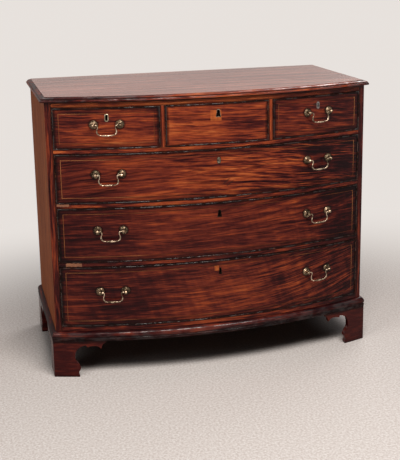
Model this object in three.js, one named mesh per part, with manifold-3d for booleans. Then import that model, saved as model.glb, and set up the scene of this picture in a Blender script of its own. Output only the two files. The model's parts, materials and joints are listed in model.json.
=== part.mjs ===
// Bow fronted chest of drawers: three short drawers over three long ones, on bracket feet.
// Millimetres, +Z up, the front towards -Y, the origin under the middle of the chest.

import * as THREE from 'three';
import { mergeVertices } from 'three/addons/utils/BufferGeometryUtils.js';
import Module from 'manifold-3d';

const wasm = await Module();
wasm.setup();

// Carcass
const carcassWidth = 1042;
const carcassDepth = 458;      // from the front corners to the back
const bowDepth = 85;           // how far the front swells past its corners
const sideThickness = 20;
const backThickness = 12;
const backBoardCount = 3;
const backGroove = 2;          // V joint between two back boards

// Heights, from the floor upwards
const footHeight = 121;
const baseHeight = 30;
const bottomRailHeight = 16;
const longLowerHeight = 197;
const longMiddleHeight = 175.5;
const longUpperHeight = 156.5;
const shortHeight = 129;
const railHeight = 14;
const topRailHeight = 17;
const topRailDepth = 90;
const topThickness = 16;

// Short drawers
const centreOpeningWidth = 331;
const dividerThickness = 15;

// Top and its moulded edge: each row is how far out and how far down, as shares of
// the width of the moulding and of the thickness of the top
const topOverhang = 13;
const topMouldWidth = 16;
const topProfileShares = [
  [0, 0], [0, 0.1], [0.1, 0.1], [0.42, 0.15], [0.66, 0.26], [0.82, 0.42],
  [0.82, 0.49], [0.93, 0.51], [1, 0.63], [1, 0.82], [0.92, 0.94], [0.78, 1],
];

// Base moulding: how far out and how far up, as shares of its projection and height
const baseProjection = 13;
const baseInset = 35;
const baseProfileShares = [
  [0.9, 0], [0.97, 0.06], [0.97, 0.28], [0.85, 0.32], [0.85, 0.37], [1, 0.41],
  [1, 0.57], [0.94, 0.71], [0.73, 0.85], [0.38, 0.95], [0, 1],
];

// Bracket feet: the inner edge from the toe to the end of the wing, as quadratic curves,
// each row a control point and an end point in shares of the span and of the height
const footSpan = 163;
const footSetback = 1;
const footThickness = 20;
const footToeShare = 0.48;
const footCurveShares = [
  [0.48, 0.03, 0.48, 0.05],
  [0.45, 0.1, 0.475, 0.16],
  [0.49, 0.2, 0.505, 0.25],
  [0.5, 0.32, 0.455, 0.39],
  [0.405, 0.45, 0.405, 0.54],
  [0.4, 0.72, 0.48, 0.81],
  [0.54, 0.87, 0.61, 0.885],
  [0.625, 0.86, 0.64, 0.83],
  [0.73, 0.88, 0.82, 0.86],
  [0.87, 0.84, 0.9, 0.775],
  [0.915, 0.93, 1, 0.96],
];
const footCurveSteps = 3;
const glueBlock = 28;
const glueBlockLift = 6;
const backBracketThickness = 18;
const backBracketToe = 84;
const backBracketSpan = 132;

// Drawers
const frontThickness = 22;
const boxSideThickness = 9;
const boxBackThickness = 8;
const boxBottomThickness = 6;
const bottomRaise = 7;         // the drawer bottom above the lower edge of the sides
const bottomHousing = 4;       // depth of its groove in the sides
const sideDrop = 4;            // the sides below the top edge of the front
const backDrop = 7;            // the drawer back below the sides
const drawerBackGap = 8;
const drawerSideGap = 1.2;
const drawerTopGap = 1.5;

// Cockbead round each drawer front: distance from the edge and rise, as shares
const beadWidth = 3.2;
const beadRise = 1.8;
const beadShares = [[0, 0.45], [0.5, 1], [1, 0.45], [1, 0]];

// Keyholes
const shortKeyholeDrop = 32.5; // middle of the keyhole below the top of the opening
const longKeyholeDrop = 37.5;
const keyholeHeight = 13;
const keyholeRadius = 1.95;
const keyholeSlot = 2.6;
const keyholeDepth = 9;
const keyholeFacets = 12;

// Handles: two cast posts with round roses and a swan-necked bail between them
const handleHeightShare = 0.592;
const postSpacing = 80;
const roseRadius = 13;
const postLength = 22;
const eyeDistance = 15.5;      // from the back of the rose to the axis of the bail
const eyeDepth = 2.5;          // the blind eye past the middle of the post
const postFacets = 10;
const eyeFacets = 8;
const postProfileShares = [
  [0, 0], [1, 0], [1, 0.06], [0.86, 0.13], [0.62, 0.16], [0.54, 0.23],
  [0.31, 0.28], [0.27, 0.38], [0.4, 0.53], [0.44, 0.7], [0.36, 0.87], [0, 1],
];
const bailRadius = 2;
const bailDrop = 32;
const bailHalfWidth = 29.7;      // at the hips, its widest place
const bailSides = 6;
// The swan neck from the shoulder to the grip, each row two control points and an end point
// of a curve, across and down, in shares of the half width and of the drop
const bailCurveShares = [
  [0.98, 0, 0.9, 0.05, 0.9, 0.2],
  [0.9, 0.37, 1, 0.385, 1, 0.6],
  [1, 0.83, 0.825, 0.97, 0.52, 0.985],
];
// Stations along half the bail, from the end in its eye to the middle, and the radius there
const bailStationShares = [
  [0, 0.95], [0.11, 0.95], [0.16, 1], [0.2, 1], [0.245, 1], [0.29, 1], [0.36, 1],
  [0.44, 1.1], [0.5, 1.15], [0.555, 1.15], [0.61, 1.05], [0.645, 1], [0.668, 1.5],
  [0.69, 1], [0.76, 1], [0.785, 1.55], [0.81, 1.1], [0.9, 1.5], [1, 1.6],
];

// Clearances and modelling values
const seatGap = 0.3;
const runGap = 0.3;
const bowFacet = 42;           // length of one facet along the bow
const overrun = 5;             // how far a cutting solid reaches past what it cuts

// Worked out from the sizes above
const halfWidth = carcassWidth / 2;
const halfInside = halfWidth - sideThickness;
const bowRadius = (halfWidth ** 2 + bowDepth ** 2) / (2 * bowDepth);
const backFace = carcassDepth - backThickness;
const carcassFloor = footHeight + baseHeight;
const longLowerZ = carcassFloor + bottomRailHeight;
const longMiddleZ = longLowerZ + longLowerHeight + railHeight;
const longUpperZ = longMiddleZ + longMiddleHeight + railHeight;
const shortZ = longUpperZ + longUpperHeight + railHeight;
const topRailZ = shortZ + shortHeight;
const topZ = topRailZ + topRailHeight;
const halfCentre = centreOpeningWidth / 2;
const shortInner = halfCentre + dividerThickness;
const handleCentreX = (halfInside + shortInner) / 2;   // over the middle of the short drawers
const drawerBackY = backFace - drawerBackGap;

// Materials
const mahogany = { color: 0x6a2a18, roughness: 0.32, metalness: 0 };
const mahoganyTop = { color: 0x7a4030, roughness: 0.25, metalness: 0 };
const pine = { color: 0xa8845a, roughness: 0.8, metalness: 0 };
const oak = { color: 0x9a7448, roughness: 0.7, metalness: 0 };
const brass = { color: 0xa58c62, roughness: 0.35, metalness: 1 };

function piece(name, geometry, material) {
  const mesh = new THREE.Mesh(geometry, new THREE.MeshStandardMaterial(material));
  mesh.name = name;
  return mesh;
}

// The bow: where the front lies at x, or a surface that stands proud of it by out
function bowY(x, out = 0) {
  return bowRadius - bowDepth - Math.sqrt((bowRadius + out) ** 2 - x ** 2);
}

// An even number of facets, so that one corner stands on the middle line
function bowSteps(length) {
  return 2 * Math.max(1, Math.round(Math.abs(length) / (2 * bowFacet)));
}

function bowPoints(from, to, out = 0) {
  const steps = bowSteps(to - from);
  return Array.from({ length: steps + 1 }, (unused, i) => {
    const x = from + ((to - from) * i) / steps;
    return [x, bowY(x, out)];
  });
}

// A closed geometry with shared vertices, no collapsed triangles and its faces pointing out
function tidied(source) {
  const bare = new THREE.BufferGeometry();
  bare.setAttribute('position', source.getAttribute('position').clone());
  if (source.index) bare.setIndex(source.index.clone());
  const merged = mergeVertices(bare);
  const corner = [new THREE.Vector3(), new THREE.Vector3(), new THREE.Vector3()];
  const position = merged.getAttribute('position');
  const kept = [];
  let volume = 0;
  for (let i = 0; i < merged.index.count; i += 3) {
    const [a, b, c] = [0, 1, 2].map((k) => merged.index.getX(i + k));
    if (a === b || b === c || c === a) continue;
    [a, b, c].forEach((v, k) => corner[k].fromBufferAttribute(position, v));
    volume += corner[0].dot(corner[1].clone().cross(corner[2]));
    kept.push([a, b, c]);
  }
  merged.setIndex(kept.flatMap(([a, b, c]) => (volume < 0 ? [a, c, b] : [a, b, c])));
  merged.computeVertexNormals();
  return merged;
}

function toSolid(geometry) {
  const clean = tidied(geometry);
  return new wasm.Manifold(new wasm.Mesh({
    numProp: 3,
    vertProperties: new Float32Array(clean.getAttribute('position').array),
    triVerts: new Uint32Array(clean.index.array),
  }));
}

function toGeometry(solid) {
  const mesh = solid.getMesh();
  const geometry = new THREE.BufferGeometry();
  geometry.setAttribute('position', new THREE.BufferAttribute(mesh.vertProperties, 3));
  geometry.setIndex(new THREE.BufferAttribute(mesh.triVerts, 1));
  return tidied(geometry);
}

function joined(geometries) {
  return toGeometry(geometries.map(toSolid).reduce((whole, next) => whole.add(next)));
}

function cut(geometry, cutters) {
  return toGeometry(cutters.map(toSolid).reduce((rest, next) => rest.subtract(next), toSolid(geometry)));
}

function mirrored(geometry) {
  return tidied(geometry.clone().scale(-1, 1, 1));
}

// A plan outline raised from one height to another
function slab(outline, low, high) {
  const shape = new THREE.Shape(outline.map(([x, y]) => new THREE.Vector2(x, y)));
  const geometry = new THREE.ExtrudeGeometry(shape, { depth: high - low, bevelEnabled: false });
  return tidied(geometry.translate(0, 0, low));
}

function box(x0, x1, y0, y1, z0, z1) {
  return slab([[x0, y0], [x1, y0], [x1, y1], [x0, y1]], z0, z1);
}

// A shape drawn in x and z, carried through from front to back
function throughY(shape, y0, y1, curveSegments) {
  const settings = { depth: y1 - y0, bevelEnabled: false, curveSegments };
  const geometry = new THREE.ExtrudeGeometry(shape, settings);
  return tidied(geometry.rotateX(Math.PI / 2).translate(0, y1, 0));
}

// A closed solid through rings that each hold the same number of points
function loft(rings) {
  const count = rings[0].length;
  const points = rings.flat();
  const faces = [];
  for (let ring = 0; ring + 1 < rings.length; ring += 1) {
    for (let i = 0; i < count; i += 1) {
      const a = ring * count + i;
      const b = ring * count + ((i + 1) % count);
      faces.push(a, b, b + count, a, b + count, a + count);
    }
  }
  capFaces(rings[0]).forEach(([a, b, c]) => faces.push(a, c, b));
  const last = (rings.length - 1) * count;
  capFaces(rings[rings.length - 1]).forEach(([a, b, c]) => faces.push(last + a, last + b, last + c));
  const geometry = new THREE.BufferGeometry();
  geometry.setAttribute('position', new THREE.Float32BufferAttribute(points.flat(), 3));
  geometry.setIndex(faces);
  return tidied(geometry);
}

// Triangles across a flat ring, turning the same way as its points. A convex ring is a fan
// from the point that keeps its thinnest triangle widest, so no point on an edge is skipped.
function capFaces(ring) {
  const normal = [0, 1, 2].map((axis) => {
    const [u, v] = [(axis + 1) % 3, (axis + 2) % 3];
    return ring.reduce((sum, p, i) => {
      const q = ring[(i + 1) % ring.length];
      return sum + p[u] * q[v] - p[v] * q[u];
    }, 0);
  });
  const axis = normal.indexOf(normal.reduce((a, b) => (Math.abs(b) > Math.abs(a) ? b : a)));
  const flat = ring.map((p) => new THREE.Vector2(p[(axis + 1) % 3], p[(axis + 2) % 3]));
  const turn = ([a, b, c]) => {
    const area = flat[b].clone().sub(flat[a]).cross(flat[c].clone().sub(flat[a]));
    return area * Math.sign(normal[axis]);
  };
  const next = (i) => (i + 1) % ring.length;
  const fans = ring.map((unused, apex) => ring
    .map((point, i) => [apex, i, next(i)])
    .filter(([a, b, c]) => a !== b && a !== c && flat[b].distanceTo(flat[c]) > 0));
  const thinnest = (fan) => Math.min(...fan.map(turn));
  const best = fans.reduce((a, b) => (thinnest(b) > thinnest(a) ? b : a));
  if (thinnest(best) > 0) return best;
  const faces = THREE.ShapeUtils.triangulateShape(flat, []);
  return faces.map((face) => (turn(face) < 0 ? [face[0], face[2], face[1]] : face));
}

// The outline of the carcass, set out all round by some amount, at one height
function outlineAt(out, z) {
  const half = halfWidth + out;
  const steps = bowSteps(carcassWidth);
  const front = Array.from({ length: steps + 1 }, (unused, i) => {
    const x = half * ((2 * i) / steps - 1);
    return [x, bowY(x, out), z];
  });
  return [...front, [half, carcassDepth, z], [-half, carcassDepth, z]];
}

function chestTop() {
  const edge = topOverhang - topMouldWidth;
  return loft(topProfileShares.map(([outShare, downShare]) => outlineAt(
    edge + topMouldWidth * outShare,
    topZ + topThickness * (1 - downShare),
  )));
}

function sideBoard() {
  const front = [-halfWidth, -halfInside].map((x) => [x, bowY(x)]);
  const outline = [...front, [-halfInside, carcassDepth], [-halfWidth, carcassDepth]];
  return slab(outline, carcassFloor, topZ);
}

// Back boards laid side by side, with a V joint where two of them meet
function backBoards() {
  const height = topZ - carcassFloor;
  const joints = Array.from({ length: backBoardCount - 1 }, (unused, i) => {
    const z = carcassFloor + (height * (i + 1)) / backBoardCount;
    return [
      [carcassDepth, z - backGroove],
      [carcassDepth - backGroove, z],
      [carcassDepth, z + backGroove],
    ];
  });
  const section = [[backFace, carcassFloor], [carcassDepth, carcassFloor], ...joints.flat(),
    [carcassDepth, topZ], [backFace, topZ]];
  return loft([-halfInside, halfInside].map((x) => section.map(([y, z]) => [x, y, z])));
}

// A rail with its board behind it, from the bow back to depth
function railBoard(z, height, depth) {
  const outline = [...bowPoints(-halfInside, halfInside), [halfInside, depth], [-halfInside, depth]];
  return slab(outline, z, z + height);
}

function divider() {
  const front = [-shortInner, -halfCentre].map((x) => [x, bowY(x)]);
  return slab([...front, [-halfCentre, backFace], [-shortInner, backFace]], shortZ, topRailZ);
}

// The base frame under the carcass, mitred at the front corners
function baseSection() {
  const outer = baseProfileShares.map(([outShare, upShare]) => [
    baseProjection * outShare,
    footHeight + baseHeight * upShare,
  ]);
  return [[-baseInset, footHeight], ...outer, [-baseInset, carcassFloor]];
}

function baseFront() {
  const steps = bowSteps(carcassWidth);
  return loft(Array.from({ length: steps + 1 }, (unused, i) => {
    const along = (2 * i) / steps - 1;
    return baseSection().map(([out, z]) => {
      const x = (halfWidth + out - seatGap) * along;
      return [x, bowY(x, out), z];
    });
  }));
}

function baseSide() {
  const mitre = ([out, z]) => [-halfWidth - out, bowY(halfWidth + out, out) + seatGap, z];
  const square = ([out, z]) => [-halfWidth - out, carcassDepth, z];
  return loft([baseSection().map(mitre), baseSection().map(square)]);
}

// What is sawn away under a foot's wing, in distance from the corner and height
function footWaste() {
  const shape = new THREE.Shape();
  shape.moveTo(footSpan * footToeShare, -overrun);
  shape.lineTo(footSpan * footToeShare, 0);
  footCurveShares.forEach(([controlX, controlZ, endX, endZ]) => shape.quadraticCurveTo(
    footSpan * controlX,
    footHeight * controlZ,
    footSpan * endX,
    footHeight * endZ,
  ));
  shape.lineTo(footSpan + overrun, footHeight);
  shape.lineTo(footSpan + overrun, -overrun);
  return shape;
}

function frontFoot() {
  const out = baseProjection - footSetback;
  const outerX = -halfWidth - out;
  const innerX = outerX + footThickness;
  const cornerY = bowY(outerX, out);
  const innerY = bowY(innerX, out - footThickness);
  const wing = [
    ...bowPoints(outerX, outerX + footSpan, out),
    ...bowPoints(outerX + footSpan, innerX, out - footThickness),
    [innerX, cornerY + footSpan],
    [outerX, cornerY + footSpan],
  ];
  const deep = bowY(outerX + footSpan, out) - overrun;
  const frontWaste = throughY(footWaste(), deep, innerY + overrun, footCurveSteps).translate(outerX, 0, 0);
  const sideWaste = throughY(footWaste(), outerX - overrun, innerX + overrun, footCurveSteps)
    .rotateZ(Math.PI / 2).scale(-1, 1, 1).translate(0, cornerY, 0);
  const block = box(innerX - seatGap, innerX + glueBlock, innerY - seatGap, innerY + glueBlock,
    glueBlockLift, footHeight);
  return joined([cut(slab(wing, 0, footHeight), [frontWaste, sideWaste]), block]);
}

function backFoot() {
  const outerX = -halfWidth - baseProjection + footSetback;
  const innerX = outerX + footThickness;
  const sideBracket = box(outerX, innerX, carcassDepth - footSpan, carcassDepth, 0, footHeight);
  const sideWaste = throughY(footWaste(), outerX - overrun, innerX + overrun, footCurveSteps)
    .rotateZ(Math.PI / 2).scale(-1, -1, 1).translate(0, carcassDepth, 0);
  const bracket = new THREE.Shape([
    new THREE.Vector2(outerX, 0),
    new THREE.Vector2(outerX + backBracketToe, 0),
    new THREE.Vector2(outerX + backBracketSpan, footHeight),
    new THREE.Vector2(outerX + backBracketSpan, carcassFloor),
    new THREE.Vector2(-halfWidth + baseInset + seatGap, carcassFloor),
    new THREE.Vector2(-halfWidth + baseInset + seatGap, footHeight),
    new THREE.Vector2(outerX, footHeight),
  ]);
  const backBracket = throughY(bracket, carcassDepth - backBracketThickness, carcassDepth);
  return joined([cut(sideBracket, [sideWaste]), backBracket]);
}

// A bowed drawer front: a panel inside a mitred cockbead, with a keyhole sawn into it
function drawerFront(left, right, height, keyholeX, keyholeZ) {
  const last = beadShares.length - 1;
  const levels = beadShares.map(([inShare], level) => [beadWidth * inShare, level]);
  const inner = bowPoints(left + beadWidth, right - beadWidth).slice(1, -1).map(([x]) => [x, last]);
  const stations = [
    ...levels.map(([inset, level]) => [left + inset, level]),
    ...inner,
    ...levels.map(([inset, level]) => [right - inset, level]).reverse(),
  ];
  const faceLine = [
    ...levels.map(([inset, level]) => [inset, level]),
    ...levels.map(([inset, level]) => [height - inset, level]).reverse(),
  ];
  const front = loft(stations.map(([x, level]) => [
    ...faceLine.map(([z, lineLevel]) => {
      const riseShare = beadShares[Math.min(level, lineLevel)][1];
      return [x, bowY(x, beadRise * riseShare), z];
    }),
    [x, bowY(x, -frontThickness), height],
    [x, bowY(x, -frontThickness), 0],
  ]));
  const face = bowY(keyholeX);
  const hole = throughY(keyholeShape(), face - overrun, face + keyholeDepth, keyholeFacets);
  return cut(front, [hole.translate(keyholeX, 0, keyholeZ)]);
}

function keyholeShape() {
  const top = keyholeHeight / 2 - keyholeRadius;
  const half = keyholeSlot / 2;
  const start = Math.asin(half / keyholeRadius) - Math.PI / 2;
  const shape = new THREE.Shape();
  shape.absarc(0, top, keyholeRadius, start, Math.PI - start, false);
  shape.lineTo(-half, -keyholeHeight / 2);
  shape.lineTo(half, -keyholeHeight / 2);
  return shape;
}

// Sides and back of a drawer, grooved for its bottom
function drawerBox(left, right, height) {
  const frontBack = (x) => bowY(x, -frontThickness) + seatGap;
  const innerLeft = left + boxSideThickness;
  const innerRight = right - boxSideThickness;
  const sideHeight = height - sideDrop;
  const backInside = drawerBackY - boxBackThickness;
  const outline = [
    [left, frontBack(left)], [innerLeft, frontBack(innerLeft)],
    [innerLeft, backInside], [innerRight, backInside],
    [innerRight, frontBack(innerRight)], [right, frontBack(right)],
    [right, drawerBackY], [left, drawerBackY],
  ];
  const grooveTop = bottomRaise + boxBottomThickness + seatGap;
  const groove = box(innerLeft - bottomHousing, innerRight + bottomHousing, bowY(0) - overrun,
    drawerBackY + overrun, bottomRaise - seatGap, grooveTop);
  const underBack = box(innerLeft, innerRight, backInside - overrun, drawerBackY + overrun,
    -overrun, bottomRaise);
  const overBack = box(innerLeft, innerRight, backInside - overrun, drawerBackY + overrun,
    sideHeight - backDrop, sideHeight + overrun);
  return cut(slab(outline, 0, sideHeight), [groove, underBack, overBack]);
}

function drawerBottom(left, right) {
  const reach = boxSideThickness - bottomHousing + seatGap;
  const front = bowPoints(left + reach, right - reach, -frontThickness - seatGap);
  const outline = [...front, [right - reach, drawerBackY], [left + reach, drawerBackY]];
  return slab(outline, bottomRaise, bottomRaise + boxBottomThickness);
}

// How far the bow stands in front of the chord through the two posts, under a rose
function roseBulge() {
  return ((postSpacing / 2) ** 2 - (postSpacing / 2 - roseRadius) ** 2) / (2 * bowRadius);
}

function post(side) {
  const seat = roseBulge() + seatGap;
  const profile = postProfileShares.map(([radiusShare, outShare]) => new THREE.Vector2(
    roseRadius * radiusShare,
    -seat - postLength * outShare,
  ));
  const turned = new THREE.LatheGeometry(profile, postFacets).translate((side * postSpacing) / 2, 0, 0);
  const eyeRadius = bailRadius + seatGap;
  const eyeLength = roseRadius + eyeDepth;
  const eye = new THREE.CylinderGeometry(eyeRadius, eyeRadius, eyeLength, eyeFacets)
    .rotateZ(Math.PI / 2)
    .translate(side * (postSpacing / 2 + eyeDepth - eyeLength / 2), -seat - eyeDistance, 0);
  return cut(turned, [eye]);
}

// Half of the bail, from its end in the eye of one post to the middle of the grip
function bailLine() {
  const shoulder = postSpacing / 2 - roseRadius / 2;
  const line = new THREE.Path();
  line.moveTo(-postSpacing / 2 - eyeDepth + seatGap, 0);
  line.lineTo(-shoulder, 0);
  bailCurveShares.forEach(([acrossA, downA, acrossB, downB, across, down]) => line.bezierCurveTo(
    -bailHalfWidth * acrossA,
    -bailDrop * downA,
    -bailHalfWidth * acrossB,
    -bailDrop * downB,
    -bailHalfWidth * across,
    -bailDrop * down,
  ));
  line.lineTo(0, -bailDrop);
  return line;
}

function bail() {
  const line = bailLine();
  const hangsAt = -roseBulge() - seatGap - eyeDistance;
  const half = bailStationShares.map(([alongShare, radiusShare]) => {
    const at = line.getPointAt(alongShare);
    const tangent = line.getTangentAt(alongShare);
    if (alongShare === 1) tangent.set(1, 0);
    const radius = bailRadius * radiusShare;
    return Array.from({ length: bailSides }, (unused, i) => {
      const turn = (2 * Math.PI * i) / bailSides;
      const across = radius * Math.cos(turn);
      return [at.x - tangent.y * across, hangsAt + radius * Math.sin(turn), at.y + tangent.x * across];
    });
  });
  const other = half.slice(0, -1).reverse().map((ring) => ring.map(([x, y, z]) => [-x, y, z]));
  return loft([...half, ...other]);
}

// One handle: both posts and the bail, in a group that stands square to the bow
function handle(name, centreX, z) {
  const group = new THREE.Group();
  const reach = Math.sqrt(bowRadius ** 2 - (postSpacing / 2) ** 2);
  const turn = Math.asin(centreX / reach);
  group.position.set(centreX, bowRadius - bowDepth - reach * Math.cos(turn), z);
  group.rotation.z = turn;
  group.add(piece(`post_${name}_left`, post(-1), brass));
  group.add(piece(`post_${name}_right`, post(1), brass));
  group.add(piece(`bail_${name}`, bail(), brass));
  return group;
}

function drawer({ name, z, openingHeight, from, to, keyholeX, keyholeDrop, handles }) {
  const group = new THREE.Group();
  const left = from + drawerSideGap;
  const right = to - drawerSideGap;
  const height = openingHeight - runGap - drawerTopGap;
  const keyholeZ = openingHeight - keyholeDrop - runGap;
  const front = drawerFront(left, right, height, keyholeX, keyholeZ);
  group.position.z = z + runGap;
  group.add(piece(`${name}_front`, front, mahogany));
  group.add(piece(`${name}_box`, drawerBox(left, right, height), oak));
  group.add(piece(`${name}_bottom`, drawerBottom(left, right), pine));
  handles.forEach(([handleName, centreX]) => {
    group.add(handle(handleName, centreX, openingHeight * handleHeightShare - runGap));
  });
  return group;
}

const longDrawers = [
  { name: 'long_lower', z: longLowerZ, openingHeight: longLowerHeight },
  { name: 'long_middle', z: longMiddleZ, openingHeight: longMiddleHeight },
  { name: 'long_upper', z: longUpperZ, openingHeight: longUpperHeight },
].map((row) => ({
  ...row,
  from: -halfInside,
  to: halfInside,
  keyholeX: 0,
  keyholeDrop: longKeyholeDrop,
  handles: [[`${row.name}_left`, -handleCentreX], [`${row.name}_right`, handleCentreX]],
}));

const shortDrawers = [
  { name: 'short_left', from: -halfInside, to: -shortInner, handles: [['short_left', -handleCentreX]] },
  { name: 'short_centre', from: -halfCentre, to: halfCentre, handles: [] },
  { name: 'short_right', from: shortInner, to: halfInside, handles: [['short_right', handleCentreX]] },
].map((row) => ({
  ...row,
  z: shortZ,
  openingHeight: shortHeight,
  keyholeX: (row.from + row.to) / 2,
  keyholeDrop: shortKeyholeDrop,
}));

function carcass() {
  const group = new THREE.Group();
  group.add(piece('top', chestTop(), mahoganyTop));
  group.add(piece('side_left', sideBoard(), mahogany));
  group.add(piece('side_right', mirrored(sideBoard()), mahogany));
  group.add(piece('back_boards', backBoards(), pine));
  group.add(piece('top_rail', railBoard(topRailZ, topRailHeight, topRailDepth), mahogany));
  group.add(piece('rail_upper', railBoard(shortZ - railHeight, railHeight, backFace), mahogany));
  group.add(piece('rail_middle', railBoard(longUpperZ - railHeight, railHeight, backFace), mahogany));
  group.add(piece('rail_lower', railBoard(longMiddleZ - railHeight, railHeight, backFace), mahogany));
  group.add(piece('bottom_rail', railBoard(carcassFloor, bottomRailHeight, backFace), mahogany));
  group.add(piece('divider_left', divider(), mahogany));
  group.add(piece('divider_right', mirrored(divider()), mahogany));
  group.add(piece('base_front', baseFront(), mahogany));
  group.add(piece('base_left', baseSide(), mahogany));
  group.add(piece('base_right', mirrored(baseSide()), mahogany));
  group.add(piece('foot_front_left', frontFoot(), mahogany));
  group.add(piece('foot_front_right', mirrored(frontFoot()), mahogany));
  group.add(piece('foot_back_left', backFoot(), mahogany));
  group.add(piece('foot_back_right', mirrored(backFoot()), mahogany));
  return group;
}

const chest = new THREE.Group();
chest.position.y = (bowDepth + topOverhang - carcassDepth) / 2;
chest.add(carcass());
[...longDrawers, ...shortDrawers].forEach((row) => chest.add(drawer(row)));

export default chest;
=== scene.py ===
import json
import math
import random

import bmesh
import bpy
from mathutils import Matrix, Vector

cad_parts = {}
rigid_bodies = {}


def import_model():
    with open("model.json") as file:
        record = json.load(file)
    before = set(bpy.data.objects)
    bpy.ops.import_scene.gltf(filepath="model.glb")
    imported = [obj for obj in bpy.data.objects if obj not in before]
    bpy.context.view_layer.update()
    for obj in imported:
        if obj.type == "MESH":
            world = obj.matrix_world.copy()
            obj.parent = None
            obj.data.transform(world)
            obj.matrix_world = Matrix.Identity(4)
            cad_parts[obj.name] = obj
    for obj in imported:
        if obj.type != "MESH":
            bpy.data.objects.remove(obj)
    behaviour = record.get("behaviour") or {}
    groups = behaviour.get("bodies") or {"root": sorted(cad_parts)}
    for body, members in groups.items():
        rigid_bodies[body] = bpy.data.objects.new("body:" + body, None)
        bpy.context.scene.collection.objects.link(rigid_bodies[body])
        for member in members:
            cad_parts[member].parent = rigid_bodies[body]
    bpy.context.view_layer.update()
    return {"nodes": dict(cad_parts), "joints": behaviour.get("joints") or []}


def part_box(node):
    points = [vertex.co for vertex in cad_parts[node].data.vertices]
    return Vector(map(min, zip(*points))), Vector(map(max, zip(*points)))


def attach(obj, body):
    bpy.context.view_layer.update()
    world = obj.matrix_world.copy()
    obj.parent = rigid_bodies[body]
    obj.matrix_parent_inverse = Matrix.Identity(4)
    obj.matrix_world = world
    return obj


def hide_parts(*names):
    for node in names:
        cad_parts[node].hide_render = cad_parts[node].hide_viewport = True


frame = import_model()

mm = 0.001
draw = random.Random(11)  # the only source of random numbers
bothSides = {"left": -1, "right": 1}
backwards = Vector((0, 1, 0))

chest = {  # the shapes that several pieces share, in metres
    "halfWidth": 521 * mm,
    "bow": 85 * mm,
    "cornerY": -180 * mm,
    "backY": 278 * mm,
    "arcParts": 64,  # straight parts over the whole width of the bow
}
bowRadius = (chest["halfWidth"] ** 2 + chest["bow"] ** 2) / (2 * chest["bow"])
bowCentreY = chest["cornerY"] + bowRadius - chest["bow"]


# Camera

photoCamera = {
    "place": (-0.7918, -3.0560, 1.3228),
    "turn": 14.666,  # degrees
    "pitch": -12.950,
    "roll": -0.981,
    "lens": 74.957,
    "sensor": 36,
    "shiftY": -0.13,
}


def newObject(name, data):
    made = bpy.data.objects.new(name, data)
    bpy.context.scene.collection.objects.link(made)
    return made


def newMesh(name, bm):
    mesh = bpy.data.meshes.new(name)
    bm.to_mesh(mesh)
    bm.free()
    return mesh


def placeCamera():
    lens = bpy.data.cameras.new("photoCamera")
    lens.lens = photoCamera["lens"]
    lens.sensor_width = photoCamera["sensor"]
    lens.shift_y = photoCamera["shiftY"]
    camera = newObject("photoCamera", lens)
    turn, pitch, roll = (math.radians(photoCamera[key]) for key in ("turn", "pitch", "roll"))
    camera.matrix_world = (
        Matrix.Translation(photoCamera["place"])
        @ Matrix.Rotation(-turn, 4, "Z")
        @ Matrix.Rotation(math.pi / 2 + pitch, 4, "X")
        @ Matrix.Rotation(roll, 4, "Z")
    )
    bpy.context.scene.camera = camera
    bpy.context.scene.view_settings.view_transform = "Standard"


# Shader sums: a Value is one socket, and what is worked out with it adds Math nodes

class Value:
    def __init__(self, finish, socket):
        self.finish = finish
        self.socket = socket

    def math(self, operation, *inputs):
        return self.finish.add("Math", {"operation": operation}, inputs)

    def __add__(self, other):
        return self.math("ADD", self, other)

    def __mul__(self, other):
        return self.math("MULTIPLY", self, other)

    def __sub__(self, other):
        return self.math("SUBTRACT", self, other)

    def __rsub__(self, other):
        return self.math("SUBTRACT", other, self)

    def __truediv__(self, other):
        return self.math("DIVIDE", self, other)

    def __pow__(self, other):
        return self.math("POWER", self, other)

    def __abs__(self):
        return self.math("ABSOLUTE", self)

    def atLeast(self, other):
        return self.math("MAXIMUM", self, other)

    def atMost(self, other):
        return self.math("MINIMUM", self, other)

    def rise(self, low, high):  # 0 below low, 1 above high, and smooth between them
        ends = {"Value": self, "From Min": low, "From Max": high}
        return self.finish.add("MapRange", {"interpolation_type": "SMOOTHSTEP"}, ends)

    __radd__ = __add__
    __rmul__ = __mul__


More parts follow.
